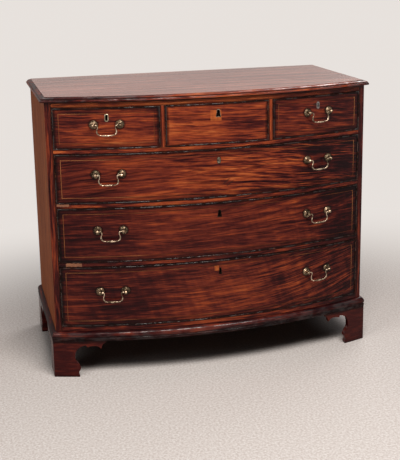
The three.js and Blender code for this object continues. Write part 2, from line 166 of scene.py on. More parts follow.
class Finish:
    def __init__(self, name, tree=None):
        if tree is None:
            self.material = bpy.data.materials.new(name)
            self.material.use_nodes = True
            tree = self.material.node_tree
        self.tree = tree
        tree.nodes.clear()

    def add(self, kind, settings=None, inputs=(), output=0):
        node = self.tree.nodes.new("ShaderNode" + kind)
        for key, value in (settings or {}).items():
            if key == "stops":
                stops = node.color_ramp.elements
                while len(stops) < len(value):
                    stops.new(1.0)
                for stop, (place, colour) in zip(stops, value):
                    stop.position = place
                    stop.color = (*colour, 1.0)
            else:
                setattr(node, key, value)
        for key, value in inputs.items() if isinstance(inputs, dict) else enumerate(inputs):
            if isinstance(value, Value):
                self.tree.links.new(value.socket, node.inputs[key])
            else:
                node.inputs[key].default_value = value
        if output is None:
            return [Value(self, socket) for socket in node.outputs]
        return Value(self, node.outputs[output])

    def place(self):
        spot = self.add("TexCoord", output=3)
        self.at = self.add("SeparateXYZ", None, [spot], None)
        return self.at

    def noise(self, x, y, z, detail=2.0, rough=0.5, twist=0.0):
        spot = self.add("CombineXYZ", None, [x, y, z])
        sockets = {"Vector": spot, "Scale": 1.0, "Detail": detail, "Roughness": rough, "Distortion": twist}
        return self.add("TexNoise", None, sockets)

    def speckle(self, scale, detail=2.0, rough=0.5, seed=0.0):  # noise of one size in all directions
        x, y, z = (axis * scale for axis in self.at)
        return self.noise(x, y, z + seed, detail, rough)

    def ramp(self, factor, stops):
        return self.add("ValToRGB", {"stops": stops}, [factor])

    def mix(self, factor, first, second, mode="MIX"):
        first, second = ((*c, 1.0) if isinstance(c, tuple) else c for c in (first, second))
        sockets = {0: factor, 6: first, 7: second}
        return self.add("Mix", {"data_type": "RGBA", "blend_type": mode}, sockets, 2)

    def stain(self, factor, colour, tint):
        return self.mix(factor, colour, tint, "MULTIPLY")

    def grey(self, value):
        return self.add("CombineColor", None, [value, value, value])

    def surface(self, sockets, height=None, depth=0.001):
        if height is not None:
            normal = self.add("Bump", None, {"Strength": 1.0, "Distance": depth, "Height": height})
            sockets = {**sockets, "Normal": normal}
        shader = self.add("BsdfPrincipled", None, sockets)
        self.add("OutputMaterial", None, [shader], None)
        return self


# Floor and light

studio = {
    "wall": (0.80, 0.755, 0.72),
    "floor": (0.60, 0.555, 0.535),
    "fleck": 0.25,
    "fleckScale": 150.0,
    # painted shadow: the floor is darkened under the chest, soft at its edges
    "paintedChestShadow": {"half": 0.57, "front": 0.245, "back": 0.30, "reach": 0.09, "shade": 0.75},
    "paintedShadowTone": (0.01, 0.008, 0.008),
    "litMiddle": (0.0, -1.35),
    "litRadius": (1.7, 3.0),  # from floor to backdrop
    "floorHalf": 9.0,
    "ambient": (0.085, 0.083, 0.085),
    "lamps": [  # name, place, aim, width, height, power, colour
        ("key", (-0.05, -1.85, 2.60), (-0.05, -0.25, 0.55), 1.4, 0.9, 70, (1.0, 0.96, 0.90)),
        ("gleam", (1.00, -1.85, 2.60), (0.00, -0.25, 0.50), 0.7, 0.4, 16, (1.0, 0.98, 0.96)),
        ("fill", (-2.4, -1.6, 2.1), (0.0, 0.0, 0.45), 1.5, 1.5, 34, (1.0, 0.97, 0.94)),
        ("back", (2.1, 1.9, 2.6), (0.0, 0.0, 0.5), 2.0, 1.4, 42, (1.0, 0.98, 0.96)),
    ],
}


def seenDirectly(finish):  # by the camera, or in brass and polish
    rays = {ray.socket.name: ray for ray in finish.add("LightPath", output=None)}
    return rays["Is Camera Ray"].atLeast(rays["Is Glossy Ray"]).atLeast(rays["Is Transmission Ray"])


def makeSky():
    world = bpy.data.worlds.new("studioWorld")
    bpy.context.scene.world = world
    world.use_nodes = True
    sky = Finish("sky", world.node_tree)
    colour = sky.mix(seenDirectly(sky), studio["ambient"], studio["wall"])
    sky.add("OutputWorld", None, [sky.add("Background", None, {"Color": colour, "Strength": 1.0})], None)


# where the floor carries the painted shadow of the chest
def underTheChest(x, y):
    dark = studio["paintedChestShadow"]
    reach = dark["reach"]
    across = (dark["half"] - abs(x)).rise(0.0, reach)
    behind = (dark["back"] - y).rise(0.0, reach)
    front = y + dark["front"] - x * x * (0.5 / bowRadius)
    return across * behind * front.rise(0.0, reach)


def makeFloor():
    floor = Finish("floorFinish")
    x, y, z = floor.place()
    middleX, middleY = studio["litMiddle"]
    radius = ((x - middleX) ** 2.0 + (y - middleY) ** 2.0) ** 0.5
    outside = radius.rise(*studio["litRadius"])
    fleck = floor.speckle(studio["fleckScale"], 3.0, 0.7).rise(0.30, 0.70)
    tone = floor.mix(studio["fleck"], studio["floor"], floor.grey(fleck), "OVERLAY")
    tone = floor.mix(underTheChest(x, y) * studio["paintedChestShadow"]["shade"], tone, studio["paintedShadowTone"])
    matt = floor.add("BsdfDiffuse", None, {"Color": floor.mix(outside, tone, studio["wall"])})
    glow = floor.add("Emission", None, {"Color": (*studio["wall"], 1.0), "Strength": 1.0})
    shown = seenDirectly(floor) * outside
    floor.add("OutputMaterial", None, [floor.add("MixShader", None, [shown, matt, glow])], None)
    half = studio["floorHalf"]
    bm = bmesh.new()
    corners = [(-half, -half, 0), (half, -half, 0), (half, half, 0), (-half, half, 0)]
    bm.faces.new([bm.verts.new(corner) for corner in corners])
    sheet = newMesh("studioFloor", bm)
    sheet.materials.append(floor.material)
    plane = newObject("studioFloor", sheet)


def hangLamps():
    for name, place, aim, width, height, power, colour in studio["lamps"]:
        lamp = bpy.data.lights.new(name, "AREA")
        lamp.shape = "RECTANGLE"
        lamp.size = width
        lamp.size_y = height
        lamp.energy = power
        lamp.color = colour
        holder = newObject(name, lamp)
        holder.location = place
        holder.rotation_euler = (Vector(aim) - Vector(place)).to_track_quat("-Z", "Y").to_euler()


placeCamera()
makeSky()
makeFloor()
hangLamps()
print("camera, floor and lamps placed")


# Mahogany: figure from noise drawn out along the grain, then pores, wear, dirt and painted shade

redStops = [
    (0.00, (0.009, 0.0010, 0.0018)),
    (0.26, (0.040, 0.0046, 0.0042)),
    (0.48, (0.120, 0.0180, 0.0090)),
    (0.70, (0.245, 0.0430, 0.0125)),
    (1.00, (0.420, 0.1080, 0.0290)),
]
lightStops = [(0.00, (0.17, 0.038, 0.010)), (0.50, (0.36, 0.085, 0.018)), (1.00, (0.54, 0.160, 0.038))]
topStops = [(0.00, (0.035, 0.011, 0.010)), (0.45, (0.200, 0.073, 0.056)), (1.00, (0.420, 0.185, 0.140))]
# painted light: paler, yellower stops for the side panels, as if lit from the left
sidePaintedLightStops = [(0.00, (0.085, 0.019, 0.008)), (0.45, (0.205, 0.055, 0.019)), (1.00, (0.335, 0.108, 0.039))]
plainLook = {
    "grain": "x",  # the axis that the grain follows
    "seed": 1.0,
    "lean": 0.0,  # slope, curve and wander of the grain
    "bend": 0.0,
    "sway": 0.02,
    "deep": 40.0,
    "stretch": 7.5,  # streaks in a metre along the grain, and across it
    "fine": 100.0,
    "contrast": 1.5,
    "ripple": 0.10,
    "cloud": 0.45,
    "lift": 0.0,  # lighter or darker all over
    "streak": 0.6,
    "rough": 0.24,
    "ior": 1.22,
    "stops": redStops,
    "wave": 0.3,  # relief
    "relief": 0.0006,
}
tints = {  # what darkens the wood
    "streak": (0.26, 0.17, 0.30),
    "pore": (0.35, 0.28, 0.30),
    "scar": (0.02, 0.008, 0.006),
    # ring: old polish with painted shadow round the roses
    "ring": (0.20, 0.15, 0.17),
    "border": (0.34, 0.28, 0.36),
    # rim: dirt, with painted shade in the gaps and under the mouldings
    "rim": (0.16, 0.12, 0.14),
}
patchEdge = 1.5 * mm


def grainAxes(finish, grain):  # along the grain, across it and into the wood
    x, y, z = finish.place()
    return {"x": (x, z, y), "y": (y, z, x), "z": (z, x, y)}[grain]


def followGrain(finish, look):
    along, across, depth = grainAxes(finish, look["grain"])
    if look.get("level"):  # sawn the other way of the log
        across, depth = depth, across
    along = along - look.get("middle", 0.0)
    sway = finish.noise(along * 2.4, across * 5.0, look["seed"], 2.0) - 0.5
    if "fan" in look:  # the grain opens out towards the end
        height, opening = look["fan"]
        across = (across - height) * (1.0 - along.atLeast(0.0) * opening)
    lane = across + along * look["lean"] + along * along * look["bend"] + sway * look["sway"]
    if "turn" in look:  # the right half alone turns up
        lane = lane + along * along.atLeast(0.0) * look["turn"]
    return along, across, lane, depth * look["deep"] + look["seed"]


def shadeTone(finish, look, tone):
    x, y, z = finish.at
    for midX, midZ, reachX, reachZ, dark in look.get("clouds", ()):
        far = ((x - midX) / reachX) ** 2.0 + ((z - midZ) / reachZ) ** 2.0
        tone = tone - (1.0 - far.rise(0.0, 1.0)) * dark
    for start, end, dark in look.get("shades", ()):  # painted shade, with some darker aged wood, from start towards end
        shade = x.rise(start, end) if end > start else 1.0 - x.rise(end, start)
        tone = tone - shade * dark
    return tone


def addWear(finish, look, colour, thread, ribbon):
    x, y, z = finish.at
    seed = look["seed"]
    for left, right, bottom, top, gain in look.get("patches", ()):  # rubbed down to fresh wood
        inside = 1.0
        for depth in (x - left, right - x, z - bottom, top - z):
            inside = depth.rise(0.0, patchEdge) * inside
        rubbed = finish.noise(x * 70.0, z * 70.0, seed + 61.0, 3.0).rise(0.30, 0.58) * 0.6 + 0.4
        fresh = finish.ramp(thread * 0.9 + ribbon * 0.5 + 0.5, lightStops)
        colour = finish.mix(inside * gain * rubbed, colour, fresh)
    for midX, midZ, slant, reachX, reachZ in look.get("scars", ()):
        off = (z - midZ) - (x - midX) * slant
        far = ((x - midX) / reachX) ** 2.0 + (off / reachZ) ** 2.0
        rough = finish.noise(x * 500.0, z * 500.0, seed, 2.0).rise(0.3, 0.6)
        colour = finish.mix((1.0 - far.rise(0.3, 1.0)) * rough, colour, tints["scar"])
    for midX, midZ, reach in look.get("rings", ()):  # old polish and painted shadow round the roses
        far = ((x - midX) ** 2.0 + (z - midZ) ** 2.0) ** 0.5
        colour = finish.stain((1.0 - far.rise(reach, reach * 1.45)) * 0.85, colour, tints["ring"])
    if "border" in look:  # the crossbanding outside the stringing
        left, right, bottom, top, dark = look["border"]
        inside = (x - left).atMost(right - x).atMost(z - bottom).atMost(top - z).rise(0.0, 1.0 * mm)
        colour = finish.stain((1.0 - inside) * dark, colour, tints["border"])
    if "rim" in look:  # dirt along the edges, with painted shade in the gaps beside the cockbeads and under the mouldings
        left, right, bottom, top, reach = look["rim"]
        nearest = ((x - left) * 0.6).atMost((right - x) * 0.6).atMost(z - bottom).atMost(top - z)
        smudge = finish.noise(x * 30.0, z * 30.0, seed + 51.0, 3.0) * (reach * 0.9)
        colour = finish.stain((1.0 - (nearest - smudge).rise(0.0, reach)) * 0.85, colour, tints["rim"])
    return colour


def mahogany(name, **changes):
    look = {**plainLook, **changes}
    finish = Finish(name)
    along, across, lane, other = followGrain(finish, look)
    x, y, z = finish.at
    seed, fine, stretch = look["seed"], look["fine"], look["stretch"]
    band = finish.noise(along * (stretch * 0.45), lane * (fine * 0.42), other + 2.3, 2.0) - 0.5
    flame = finish.noise(along * stretch, lane * fine, other + 3.1, 4.0, 0.60, 0.6) - 0.5
    ribbon = finish.noise(along * 17.0, lane * (fine * 2.6), other + 7.3, 3.0, 0.6) - 0.5
    thread = finish.noise(along * 40.0, lane * 900.0, other * 3.0 + 11.9, 2.0) - 0.5
    ripple = finish.noise(along * 48.0 + lane * 16.0, lane * 9.0, seed + 17.7, 2.0) - 0.5
    cloud = finish.noise(along * 3.5, across * 7.0, seed + 23.0, 2.0) - 0.5
    figure = band * 0.5 + flame * look["contrast"] + ribbon * 1.1 + thread * 0.28 + ripple * look["ripple"]
    if "swell" in look:  # from, to, strength of the figure there
        start, end, weak, strong = look["swell"]
        figure = figure * (x.rise(start, end) * (strong - weak) + weak)
    tone = shadeTone(finish, look, figure + cloud * look["cloud"] + (0.5 + look["lift"]))
    colour = finish.ramp(tone, look["stops"])
    streak = finish.noise(along * stretch, lane * (fine * 1.7), other + 31.0, 4.0, 0.6, 0.7).rise(0.53, 0.64)
    colour = finish.stain(streak * look["streak"], colour, tints["streak"])
    pore = finish.noise(along * 60.0, lane * 1500.0, other * 5.0 + 41.0, 1.0).rise(0.60, 0.72)
    colour = finish.stain(pore * 0.45, colour, tints["pore"])
    colour = addWear(finish, look, colour, thread, ribbon)
    height = finish.speckle(14.0, 2.0, seed=seed) * look["wave"] + thread * 0.10 - pore * 0.03
    sockets = {
        "Base Color": colour,
        "Roughness": ribbon * 0.10 + pore * 0.12 + look["rough"],
        "IOR": look["ior"],
    }
    if "gloss" in look:  # wax that shines in broken patches
        patchy = finish.noise(x * 26.0, y * 26.0, z * 60.0 + seed, 4.0, 0.7)
        height = height + patchy * look["crinkle"]
        sockets.update({"Coat Weight": patchy.rise(0.42, 0.60) * look["gloss"], "Coat Roughness": 0.14})
    return finish.surface(sockets, height, look["relief"])


# The other finishes

def cockbeadFinish():
    finish = Finish("cockbeadFinish")
    x, y, z = finish.place()
    tone = finish.noise(x * 9.0, y * 9.0, z * 40.0, 3.0)
    nick = finish.speckle(130.0)
    colour = finish.ramp(tone, [
        (0.25, (0.0050, 0.0022, 0.0020)),
        (0.55, (0.0120, 0.0042, 0.0034)),
        (0.80, (0.0500, 0.0130, 0.0080)),
    ])
    colour = finish.mix(nick.rise(0.62, 0.75) * 0.6, colour, (0.14, 0.040, 0.018))
    shine = finish.speckle(34.0, 4.0, 0.7, 7.0).rise(0.44, 0.58)
    sockets = {"Base Color": colour, "Roughness": nick * 0.20 + 0.30, "IOR": 1.12, "Coat Weight": shine,
               "Coat Roughness": 0.12}
    return finish.surface(sockets, tone * 0.6 + nick * 0.4, 0.0008)


def stringingFinish():
    finish = Finish("stringingFinish")
    x, y, z = finish.place()
    age = finish.noise(x * 11.0, y * 5.0, z * 11.0, 3.0)
    kept = age - x.rise(-0.45, 0.05) * 0.20 + 0.04 + x.rise(0.474, 0.480) * 0.26  # brightest at the right end
    colour = finish.ramp(kept, [
        (0.18, (0.034, 0.0065, 0.0038)),
        (0.44, (0.120, 0.0320, 0.0110)),
        (0.72, (0.290, 0.1150, 0.0420)),
    ])
    return finish.surface({"Base Color": colour, "Roughness": age * 0.2 + 0.25, "IOR": 1.14}, age, 0.0002)


# painted shade: near black, for the quirk and the underside of the top's moulding
def blackWax():
    finish = Finish("blackWax")
    finish.place()
    crust = finish.speckle(60.0, 3.0)
    colour = finish.ramp(crust, [(0.35, (0.006, 0.002, 0.002)), (0.75, (0.035, 0.010, 0.007))])
    return finish.surface({"Base Color": colour, "Roughness": crust * 0.3 + 0.3, "IOR": 1.12}, crust, 0.0004)


# painted shade: near black inside the keyholes and on the plates within some escutcheon rims
def darkHole():
    finish = Finish("darkHole")
    finish.place()
    dust = finish.speckle(300.0)
    colour = finish.ramp(dust, [(0.3, (0.002, 0.0015, 0.0015)), (0.8, (0.010, 0.007, 0.005))])
    return finish.surface({"Base Color": colour, "Roughness": dust * 0.1 + 0.8, "IOR": 1.03})


def plainWood(name, grain, stops, seed, rough=0.75):
    finish = Finish(name)
    along, across, depth = grainAxes(finish, grain)
    sway = (finish.noise(along * 3.0, across * 4.0, depth * 4.0 + seed, 2.0) - 0.5) * 0.04
    ring = finish.noise(along * 1.6, (across + sway) * 70.0, (depth + sway) * 70.0 + seed, 3.0)
    fibre = finish.noise(along * 14.0, across * 600.0, depth * 600.0 + seed, 2.0)
    dirt = finish.speckle(4.0, 4.0, 0.6, seed)
    colour = finish.ramp(ring * 0.65 + fibre * 0.35, stops)
    colour = finish.stain(dirt.rise(0.45, 0.75) * 0.55, colour, (0.42, 0.33, 0.26))
    return finish.surface({"Base Color": colour, "Roughness": fibre * 0.15 + rough}, fibre + ring, 0.0004)


def darker(stops, share):
    return [(place, tuple(part * share for part in colour)) for place, colour in stops]


def brassFinish(name, dark, bright, shine):
    finish = Finish(name)
    x, y, z = finish.place()
    spot = finish.speckle(150.0, 3.0, 0.65)
    cloud = finish.speckle(30.0, seed=5.0)
    worn = (spot * 0.6 + cloud * 0.4).rise(0.42, 0.56)
    colour = finish.mix(worn, dark, bright)
    green = finish.noise(x * 60.0 + 9.0, y * 60.0, z * 60.0, 2.0).rise(0.56, 0.70)
    colour = finish.mix(green * 0.5, colour, (0.060, 0.062, 0.034))
    sockets = {"Base Color": colour, "Metallic": 1.0, "Roughness": shine + (1.0 - worn) * 0.22}
    return finish.surface(sockets, spot, 0.0005)


def ironFinish():
    finish = Finish("ironFinish")
    finish.place()
    rust = finish.speckle(120.0, 4.0, 0.6)
    colour = finish.ramp(rust, [
        (0.30, (0.070, 0.062, 0.060)), (0.55, (0.220, 0.195, 0.185)), (0.80, (0.200, 0.110, 0.070)),
    ])
    sockets = {"Base Color": colour, "Metallic": 0.8, "Roughness": rust * 0.3 + 0.35}
    return finish.surface(sockets, rust, 0.0003)


footHeight = 121 * mm
oakStops = [(0.25, (0.16, 0.085, 0.038)), (0.50, (0.33, 0.195, 0.095)), (0.75, (0.46, 0.300, 0.160))]
pineStops = [(0.25, (0.19, 0.100, 0.046)), (0.50, (0.36, 0.225, 0.115)), (0.75, (0.49, 0.330, 0.185))]
bareStops = [(0.25, (0.09, 0.028, 0.011)), (0.50, (0.21, 0.075, 0.032)), (0.75, (0.34, 0.150, 0.070))]
coreStops = [(0.25, (0.11, 0.045, 0.022)), (0.75, (0.30, 0.140, 0.070))]
endStops = [(0.25, (0.10, 0.05, 0.025)), (0.75, (0.24, 0.14, 0.07))]

# the side panels as a paler, painted-light copy of the mahogany
sidePaintedLightFinish = mahogany(
    "sidePaintedLightFinish", grain="z", level=True, seed=15.0, fine=40.0, stretch=1.8, deep=20.0, contrast=0.9,
    streak=0.25, stops=sidePaintedLightStops, rough=0.60, ior=1.06,
)
topFinish = mahogany(
    "topFinish", level=True, seed=21.0, fine=80.0, stretch=1.8, deep=20.0, contrast=1.8, streak=0.8,
    stops=topStops, rough=0.22, wave=0.03, sway=0.03, ior=1.20,
)
# lighter all over, with painted shade towards both ends, so the middle reads as lit
mouldFinish = mahogany(
    "mouldFinish", seed=27.0, fine=120.0, contrast=1.0, lift=0.17, rough=0.30, ior=1.18,
    shades=[(-0.05, -0.40, 0.46), (0.20, 0.50, 0.33)], gloss=1.0, crinkle=0.2,
)
# painted shade towards the ends, and painted shadow along its lowest 13 mm under the nose
baseMouldFinish = mahogany(
    "baseMouldFinish", seed=31.0, fine=120.0, contrast=1.0, lift=-0.28, rough=0.34, ior=1.18,
    shades=[(-0.10, -0.50, 0.06), (0.15, 0.50, 0.14)], gloss=0.6, crinkle=0.7,
    rim=(-1.0, 1.0, footHeight, 1.0, 13 * mm),
)
sideMouldFinish = mahogany(
    "sideMouldFinish", grain="y", seed=29.0, fine=90.0, lift=-0.22, rough=0.50, ior=1.3,
)
# painted shade: a darker copy of the base moulding for its sides, with painted shadow along its foot
sideBasePaintedShade = mahogany(
    "sideBasePaintedShade", grain="y", seed=30.0, fine=90.0, lift=-0.34, rough=0.50, ior=1.12,
    rim=(-1.0, 1.0, footHeight, 1.0, 13 * mm),
)
# painted shade towards the right foot, and painted shadow along the top under the base moulding
footFinish = mahogany(
    "footFinish", seed=33.0, fine=55.0, stretch=5.0, contrast=0.35, lift=-0.17, streak=0.15,
    shades=[(0.30, 0.50, 0.10)], swell=(-0.6, 0.6, 0.50, 0.45), rim=(-1.0, 1.0, -3 * mm, footHeight, 8 * mm),
)
beadFinish = cockbeadFinish()
paintedShadeFinish = blackWax()
inlayFinish = stringingFinish()
bareFinish = plainWood("bareWood", "x", bareStops, 2.0, 0.5)
oakLining = plainWood("oakLining", "y", oakStops, 5.0)
oakEndGrain = plainWood("oakEndGrain", "z", endStops, 6.0)
oakAcross = plainWood("oakAcross", "x", oakStops, 8.0)
pineAcross = plainWood("pineAcross", "x", pineStops, 12.0)
pineUpright = plainWood("pineUpright", "z", pineStops, 14.0)
pineLengthwise = plainWood("pineLengthwise", "y", pineStops, 16.0)
plankFinishes = [
    plainWood("plankPine" + str(board), "x", darker(pineStops, share), 12.0 + 7.0 * board)
    for board, share in enumerate((0.95, 0.76, 0.88))
]
coreFinish = plainWood("coreWood", "x", coreStops, 17.0)
handleBrass = brassFinish("handleBrass", (0.055, 0.038, 0.022), (0.46, 0.33, 0.22), 0.20)
bailBrass = brassFinish("bailBrass", (0.080, 0.056, 0.034), (0.66, 0.50, 0.36), 0.20)
roseEdge = brassFinish("roseEdge", (0.020, 0.014, 0.009), (0.19, 0.13, 0.08), 0.34)
grooveBrass = brassFinish("grooveBrass", (0.008, 0.007, 0.005), (0.040, 0.032, 0.020), 0.40)
rimBrass = brassFinish("rimBrass", (0.26, 0.22, 0.14), (0.74, 0.64, 0.47), 0.30)
dullBrass = brassFinish("dullBrass", (0.030, 0.024, 0.016), (0.36, 0.30, 0.22), 0.32)
wornRim = brassFinish("wornRim", (0.006, 0.005, 0.004), (0.050, 0.035, 0.022), 0.45)
lockIron = ironFinish()
holeShadeFinish = darkHole()
print("finishes mixed")


# Mesh helpers

def bowY(x, out=0.0):  # the bow at x, or a surface so far in front of it
    return bowCentreY - math.sqrt((bowRadius + out) ** 2 - x * x)


def spread(start, end, step=None):
    step = step or chest["halfWidth"] * 2 / chest["arcParts"]
    count = max(1, math.ceil(abs(end - start) / step))
    return [start + (end - start) * i / count for i in range(count + 1)]


def bowLine(start, end, out=0.0):
    return [(x, bowY(x, out)) for x in spread(start, end)]


def acrossBow(half, out, z):
    return [(half * share, bowY(half * share, out), z) for share in spread(-1, 1, 2 / chest["arcParts"])]


def skin(bm, rings, looped=False):
    rows = [[bm.verts.new(point) for point in ring] for ring in rings]
    pairs = list(zip(rows, rows[1:])) + ([(rows[-1], rows[0])] if looped else [])
    count = len(rows[0])
    for first, second in pairs:
        for i in range(count):
            j = (i + 1) % count
            bm.faces.new((first[i], first[j], second[j], second[i]))
    if not looped:
        bm.faces.new(rows[0][::-1])
        bm.faces.new(rows[-1])


def extrude(bm, outline, axis, start, end):  # the outline gives the two other coordinates
    at = "xyz".index(axis)
    skin(bm, [[(*point[:at], level, *point[at:]) for point in outline] for level in (start, end)])


def block(bm, low, high):
    plan = [(low[0], low[1]), (high[0], low[1]), (high[0], high[1]), (low[0], high[1])]
    extrude(bm, plan, "z", low[2], high[2])


def turned(bm, profile, at, way, corners):
    side = way.orthogonal().normalized()
    other = way.cross(side)
    turns = [2 * math.pi * i / corners for i in range(corners)]
    rings = []
    for radius, along in profile:
        radius = max(radius, 1e-6)  # a tip is closed by the merging in makePiece
        rings.append([at + way * along + (side * math.cos(t) + other * math.sin(t)) * radius for t in turns])
    skin(bm, rings)


def inMetres(profile):
    return [(radius * mm, along * mm) for radius, along in profile]


def steepEdges(bm, degrees):
    return [edge for edge in bm.edges if edge.calc_face_angle(0) > math.radians(degrees)]


def soften(bm, edges, width, profile=0.5):
    bmesh.ops.bevel(bm, geom=edges, offset=width, segments=2, profile=profile, affect="EDGES")


def turnOutward(bm):
    bmesh.ops.recalc_face_normals(bm, faces=bm.faces)


def markSharp(bm, degrees):
    for edge in bm.edges:
        edge.smooth = edge.calc_face_angle(0) < math.radians(degrees)


def evenNormals(piece):
    piece.modifiers.new("evenNormals", "WEIGHTED_NORMAL").keep_sharp = True


def makePiece(name, bm, body, finishes, replaced=(), bevel=0.0, sharp=40.0, even=True, pick=None):
    bmesh.ops.remove_doubles(bm, verts=bm.verts, dist=2e-6)
    turnOutward(bm)
    if bevel:
        soften(bm, steepEdges(bm, 50), bevel, 0.6)
    bm.normal_update()
    for face in bm.faces:
        face.smooth = True
        if pick:
            face.material_index = pick(face)
    markSharp(bm, sharp)
    mesh = newMesh(name, bm)
    for finish in finishes:
        mesh.materials.append(finish.material)
    piece = newObject(name, mesh)
    if even:
        evenNormals(piece)
    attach(piece, body)
    if replaced:
        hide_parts(*replaced)
    return piece


def facesFront(face):
    return 0 if face.normal.y < -0.7 else 1


# Top with its moulded edge

topBoard = {
    "overhang": 13 * mm,
    "mould": 16 * mm,
    "paintedShadeDepths": [(5.3 * mm, 8.1 * mm), (13.4 * mm, 16.2 * mm)],  # how far down the edge is painted black as shade, in the quirk and under the bead
    "edge": [  # how far out and how far down, millimetres
        (0, 0), (0.0, 1.5), (0.4, 1.75), (1.6, 1.65), (4.0, 1.85), (6.7, 2.4), (8.8, 3.2), (10.6, 4.2),
        (12.0, 5.3), (13.0, 6.6), (13.1, 7.8), (13.4, 8.0), (14.6, 8.2), (15.4, 8.8), (15.9, 9.8),
        (16.0, 11.2), (16.0, 12.8), (15.7, 14.0), (15.0, 15.0), (14.0, 15.7), (12.5, 16.0),
    ],
}


def carcassRing(out, z):
    half, back = chest["halfWidth"] + out, chest["backY"]
    return [*acrossBow(half, out, z), (half, back, z), (-half, back, z)]


def makeTop():
    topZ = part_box("top")[1].z
    inset = topBoard["overhang"] - topBoard["mould"]

    def zone(face):  # the board, its moulding in front and at the sides, and the painted shade
        middle = face.calc_center_median()
        if face.normal.z > 0.98 and face.calc_area() > 0.1:
            return 0
        if any(start < topZ - middle.z < end for start, end in topBoard["paintedShadeDepths"]):
            return 3
        return 2 if abs(face.normal.x) > 0.3 or middle.y > 0 else 1

    bm = bmesh.new()
    skin(bm, [carcassRing(inset + out * mm, topZ - down * mm) for out, down in topBoard["edge"]])
    finishes = [topFinish, mouldFinish, sideMouldFinish, paintedShadeFinish]
    makePiece("polishedTop", bm, "carcass", finishes, ["top"], sharp=32, pick=zone)


# Sides, rails and the two partitions between the short drawers

boards = {
    "bevel": 0.7 * mm,
    "dirt": 2.6 * mm,  # how far the dirt and painted shade along an edge reach
    "rails": {  # lift, and reach of the dirt and painted shade; the top rail is lifted as painted light against the shade under the top, and its wide rim is painted shadow
        "top_rail": (0.27, 4.4 * mm), "rail_upper": (0.11, 2.6 * mm), "rail_middle": (0.07, 2.6 * mm),
        "rail_lower": (-0.12, 2.6 * mm), "bottom_rail": (-0.05, 2.6 * mm),
    },
    # painted shade with some darker aged wood towards the rails' ends
    "railPaintedShadeAndTone": [(0.05, 0.50, 0.22), (-0.12, -0.50, 0.16)],
    "partitionLift": {"divider_left": 0.12, "divider_right": 0.26},
    "stileLift": {"side_left": -0.14, "side_right": -0.27},
    "beyond": 1.0,  # outside the chest, where an edge gets no dirt or painted shade
}


def bowedBoard(name, node, look, core=coreFinish):
    low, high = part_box(node)
    bm = bmesh.new()
    extrude(bm, [*bowLine(low.x, high.x), (high.x, high.y), (low.x, high.y)], "z", low.z, high.z)
    finishes = [mahogany("finish_" + node, **look), core]
    makePiece(name, bm, "carcass", finishes, [node], boards["bevel"], pick=facesFront)


def makeBoards():
    far = boards["beyond"]
    upright = {"grain": "z", "fine": 110.0}
    for number, (node, (lift, dirt)) in enumerate(boards["rails"].items()):
        low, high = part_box(node)
        bowedBoard("bowed_" + node, node, {
            "seed": 4.0 + number * 3, "lift": lift, "shades": boards["railPaintedShadeAndTone"],
            "rim": (-far, far, low.z, high.z, dirt),
        })
    for number, (node, lift) in enumerate(boards["partitionLift"].items()):
        low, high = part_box(node)
        bowedBoard("bowed_" + node, node, {
            **upright, "seed": 39.0 + number, "lift": lift, "contrast": 1.0,
            "rim": (low.x, high.x, 0.0, far, boards["dirt"]),
        })
    for number, (node, lift) in enumerate(boards["stileLift"].items()):
        low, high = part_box(node)
        inner = (-far, high.x) if high.x < 0 else (low.x, far)
        bowedBoard("panel_" + node, node, {
            **upright, "seed": 9.0 + number, "lift": lift, "contrast": 1.6,
            "rim": (*inner, 0.0, far, boards["dirt"]),
        }, sidePaintedLightFinish)


# Base moulding, mitred at the two front corners

baseMould = {
    "inset": 35 * mm,
    "gap": 0.15 * mm,
    "section": [  # how far out and how far up, millimetres
        (11.7, 0), (12.4, 0.5), (12.6, 1.5), (12.6, 8.0), (12.3, 8.6), (11.2, 9.4), (11.0, 10.4),
        (11.3, 11.4), (12.3, 12.0), (12.9, 12.8), (13.0, 14.5), (13.0, 17.0), (12.8, 19.0), (12.2, 21.3),
        (11.1, 23.6), (9.5, 25.6), (7.4, 27.3), (4.9, 28.6), (2.4, 29.4), (0.0, 29.8), (-1.0, 30.0),
    ],
}


def makeBaseMoulding():
    low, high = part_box("base_front")
    half, inset, gap = chest["halfWidth"], baseMould["inset"], baseMould["gap"]
    face = [(out * mm, low.z + up * mm) for out, up in baseMould["section"]]
    section = [(-inset, low.z), *face, (-inset, high.z)]
    bm = bmesh.new()
    skin(bm, list(zip(*(acrossBow(half + out - gap, out, z) for out, z in section))))
    makePiece("baseMouldingFront", bm, "carcass", [baseMouldFinish], ["base_front"], sharp=38)
    for side, sign in bothSides.items():
        bm = bmesh.new()
        mitre = [(sign * (half + out), bowY(half + out, out) + gap, z) for out, z in section]
        skin(bm, [mitre, [(x, chest["backY"], z) for x, y, z in mitre]])
        makePiece("baseMoulding" + side.title(), bm, "carcass", [sideBasePaintedShade],
                  ["base_" + side], sharp=38)


# Bracket feet

